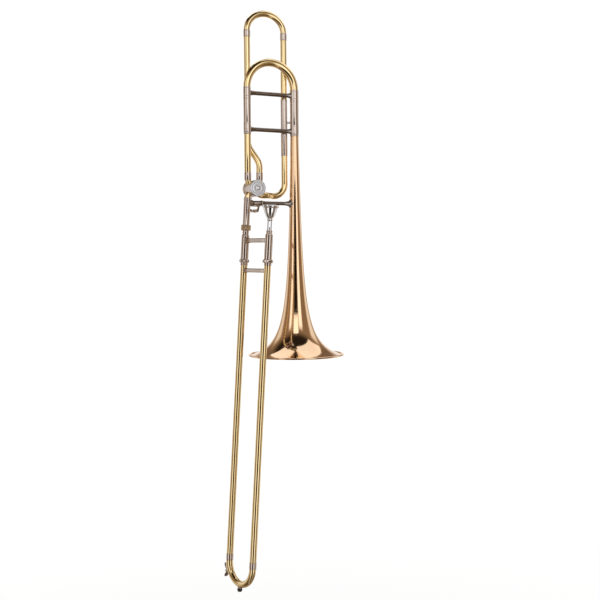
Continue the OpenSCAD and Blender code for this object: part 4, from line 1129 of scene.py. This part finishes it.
def touch():
    """The touch piece: a spoon that widens and curls away from the crook."""
    line = [(HINGE_OUT + 0.4, 0.6, 1.4), (7.6, 2.6, 1.45), (8.8, 3.9, 2.6), (10.2, 5.6, 4.0)]
    line += [(11.8, 7.3, 4.8), (13.2, 8.7, 5.0), (14.4, 9.9, 4.4), (15.0, 10.5, 2.6)]
    thick = 0.6
    dish = 0.35
    across = 9
    verts = []
    for i, (x, y, half) in enumerate(line):
        ahead = Vector(line[min(i + 1, len(line) - 1)][:2])
        along = (ahead - Vector(line[max(i - 1, 0)][:2])).normalized()
        outward = Vector((along.y, -along.x))
        for layer in (1, -1):
            for s in range(across):
                w = mix(-1, 1, s / (across - 1)) * layer
                p = Vector((x, y)) + outward * (thick * layer + dish * w * w)
                verts.append(HINGE @ Vector((p.x, p.y, half * w)))
    return verts, strips_between(len(line), across * 2) + lids(len(line), across * 2)


key_arm = plate(arm, 2.8, HINGE @ shift(0, 0, -1.4), 0.3)
add_piece("water_key_lever_cast", [pad_cup, knuckle_tube, key_arm, touch()],
          KEY, "nickel_silver", "water_key_lever")
pad = [(0, 0.02), (3.0, 0.02), (3.4, 0.4), (3.4, 2.42), (0, 2.42)]
turned("water_key_pad", pad, NIPPLE @ shift(0, 0, NIPPLE_OUT), KEY, "black_rubber", "water_key_cork",
       sides=40, edge=0.15)

# ---------------------------------------------------------------- CAD nodes that stay

for node in ("bearing_plate", "rotor"):
    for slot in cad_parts[node].material_slots:
        slot.material = MATERIALS["nickel_silver"]

# ---------------------------------------------------------------- studio

AZIMUTH = -26.31
ELEVATION = 2.21
ROLL = -0.46
CAMERA_AT = Vector((-0.968304, -1.979752, 0.209889))
LENS = 58.86
heading = turn(AZIMUTH, "Z")
right = heading @ Vector((1, 0, 0))
flat_back = heading @ Vector((0, -1, 0))
camera_data = bpy.data.cameras.new("camera")
camera_data.lens = LENS
camera_data.sensor_width = 36
camera_data.clip_end = 100
camera = bpy.data.objects.new("camera", camera_data)
camera.matrix_world = Matrix.Translation(CAMERA_AT) @ heading @ turn(90 - ELEVATION, "X") @ turn(ROLL, "Z")
bpy.context.scene.collection.objects.link(camera)
bpy.context.scene.camera = camera

bpy.context.scene.view_settings.view_transform = "Standard"
bpy.context.scene.view_settings.look = "None"


def panel(name, at, aim, width, height, radiance):
    """A soft white light panel that faces aim."""
    light = bpy.data.lights.new(name, "AREA")
    light.shape = "RECTANGLE"
    light.size = width
    light.size_y = height
    light.energy = radiance * width * height * math.pi
    lamp = bpy.data.objects.new(name, light)
    lamp.rotation_euler = (aim - at).to_track_quat("-Z", "Y").to_euler()
    lamp.location = at
    lamp.visible_camera = False
    bpy.context.scene.collection.objects.link(lamp)
    return lamp


def overhead(name, x0, x1, y0, y1, radiance):
    """A level panel above, with its edges measured to the camera's right (x) and towards the camera (y)."""
    middle = right * (x0 + x1) / 2 + flat_back * (y0 + y1) / 2 + Vector((0, 0, CEILING))
    lamp = panel(name, middle, middle - Vector((0, 0, 1)), x1 - x0, y1 - y0, radiance)
    lamp.rotation_euler = (0, 0, math.radians(AZIMUTH))


CEILING = 1.8
FRONT_AWAY = 1.234
FRONT_LOW = 0.55
FRONT_HIGH = 1.24
FRONT_SPREAD = 34  # the front panel's width, in degrees as seen from the instrument
front_width = 2 * FRONT_AWAY * math.tan(math.radians(FRONT_SPREAD / 2))
front_aim = Vector((0, 0, (FRONT_LOW + FRONT_HIGH) / 2))
panel("front_box", front_aim + flat_back * FRONT_AWAY, front_aim, front_width, FRONT_HIGH - FRONT_LOW, 1.15)
overhead("overhead_left", -0.80, -0.10, -1.95, -0.18, 0.98)
overhead("overhead_right", 0.05, 1.70, -1.75, 0.24, 0.98)

# soft strips of light round the instrument: bearings in degrees where each rises and falls, and its strength
STRIPS = (
    ((-58, -45), (-35, -22), 1.0),
    ((16, 26), (42, 53), 1.05),
    ((-148, -124), (-112, -92), 0.55),
    ((92, 110), (126, 148), 0.62),
)
WALL = 0.25


def world_light():
    """Dim room light by direction: grey walls, a dark gap at the camera and a dark front ceiling."""
    world = bpy.data.worlds.new("studio")
    world.use_nodes = True
    bpy.context.scene.world = world
    tree = world.node_tree
    background = tree.nodes["Background"]
    towards = tree.nodes.new("ShaderNodeTexCoord").outputs["Generated"]

    def along(axis):
        return vector_calc(tree, "DOT_PRODUCT", towards, tuple(axis))

    def times(a, b):
        return calc(tree, "MULTIPLY", a, b)

    def ramp(value, low, high, new_low, new_high):
        return to_range(tree, value, low, high, new_low, new_high, "SMOOTHSTEP")

    to_degrees = 180 / math.pi
    signed = times(calc(tree, "ARCTAN2", along(right), along(flat_back)), to_degrees)
    bearing = calc(tree, "ABSOLUTE", signed)
    elevation = times(calc(tree, "ARCSINE", along((0, 0, 1))), to_degrees)

    gap = calc(tree, "MAXIMUM", ramp(bearing, 10, 22, 0.03, 1.0), ramp(elevation, 20, 24, 0.0, 1.0))
    wall = times(ramp(bearing, 140, 160, WALL, 0.10), gap)
    wall = times(wall, ramp(elevation, 36, 54, 1.0, 0.08))
    behind = times(ramp(bearing, 138, 165, 0.0, 0.85), ramp(elevation, 10, 28, 1.0, 0.1))
    strips = None
    for rise, fall, top in STRIPS:
        strip = times(ramp(signed, *rise, 0.0, top), ramp(signed, *fall, 1.0, 0.0))
        strips = strip if strips is None else calc(tree, "ADD", strips, strip)
    strips = times(strips, ramp(elevation, 27, 40, 1.0, 0.0))
    total = calc(tree, "ADD", calc(tree, "ADD", wall, behind), strips)
    total = times(total, ramp(elevation, -40, -22, 0.45, 1.0))

    bright = ramp(total, 0.25, 0.8, 0.0, 1.0)
    tint = blend_colour(tree, bright, (1.0, 0.72, 0.48), (1.0, 1.0, 1.0))
    tree.links.new(tint, background.inputs["Color"])
    tree.links.new(total, background.inputs["Strength"])


world_light()


def stage_material(name, grey, near, far):
    """A plain white that glows from near strength under the instrument to far strength further out."""
    mat, tree, shader = new_material(name)
    distance = vector_calc(tree, "LENGTH", object_place(tree))
    shader.inputs["Base Color"].default_value = (grey, grey, grey, 1)
    shader.inputs["Roughness"].default_value = 0.9
    shader.inputs["Specular IOR Level"].default_value = 0.0
    shader.inputs["Emission Color"].default_value = (1, 1, 1, 1)
    tree.links.new(to_range(tree, distance, 0.5, 4.0, near, far), shader.inputs["Emission Strength"])
    return mat


def stage_object(name, bm, material):
    """A stage mesh that the camera sees but that the metal and the light don't."""
    mesh = bpy.data.meshes.new(name)
    bm.to_mesh(mesh)
    bm.free()
    mesh.materials.append(material)
    piece = bpy.data.objects.new(name, mesh)
    piece.visible_glossy = False
    piece.visible_diffuse = False
    bpy.context.scene.collection.objects.link(piece)
    return piece


FLOOR_DROP = 0.62  # the hand slide's whole reach, so that it never dips through the floor
disc = bmesh.new()
bmesh.ops.create_circle(disc, cap_ends=True, radius=12, segments=64)
floor = stage_object("floor", disc, stage_material("floor_white", 0.1, 0.90, 1.05))
floor.location = (0, 0, cad_low.z - FLOOR_DROP)

sphere = bmesh.new()
bmesh.ops.create_uvsphere(sphere, u_segments=48, v_segments=24, radius=14)
bmesh.ops.reverse_faces(sphere, faces=sphere.faces)
dome = stage_object("backdrop", sphere, stage_material("backdrop_white", 0, 1.05, 1.05))
dome.visible_shadow = False
dome.visible_transmission = False
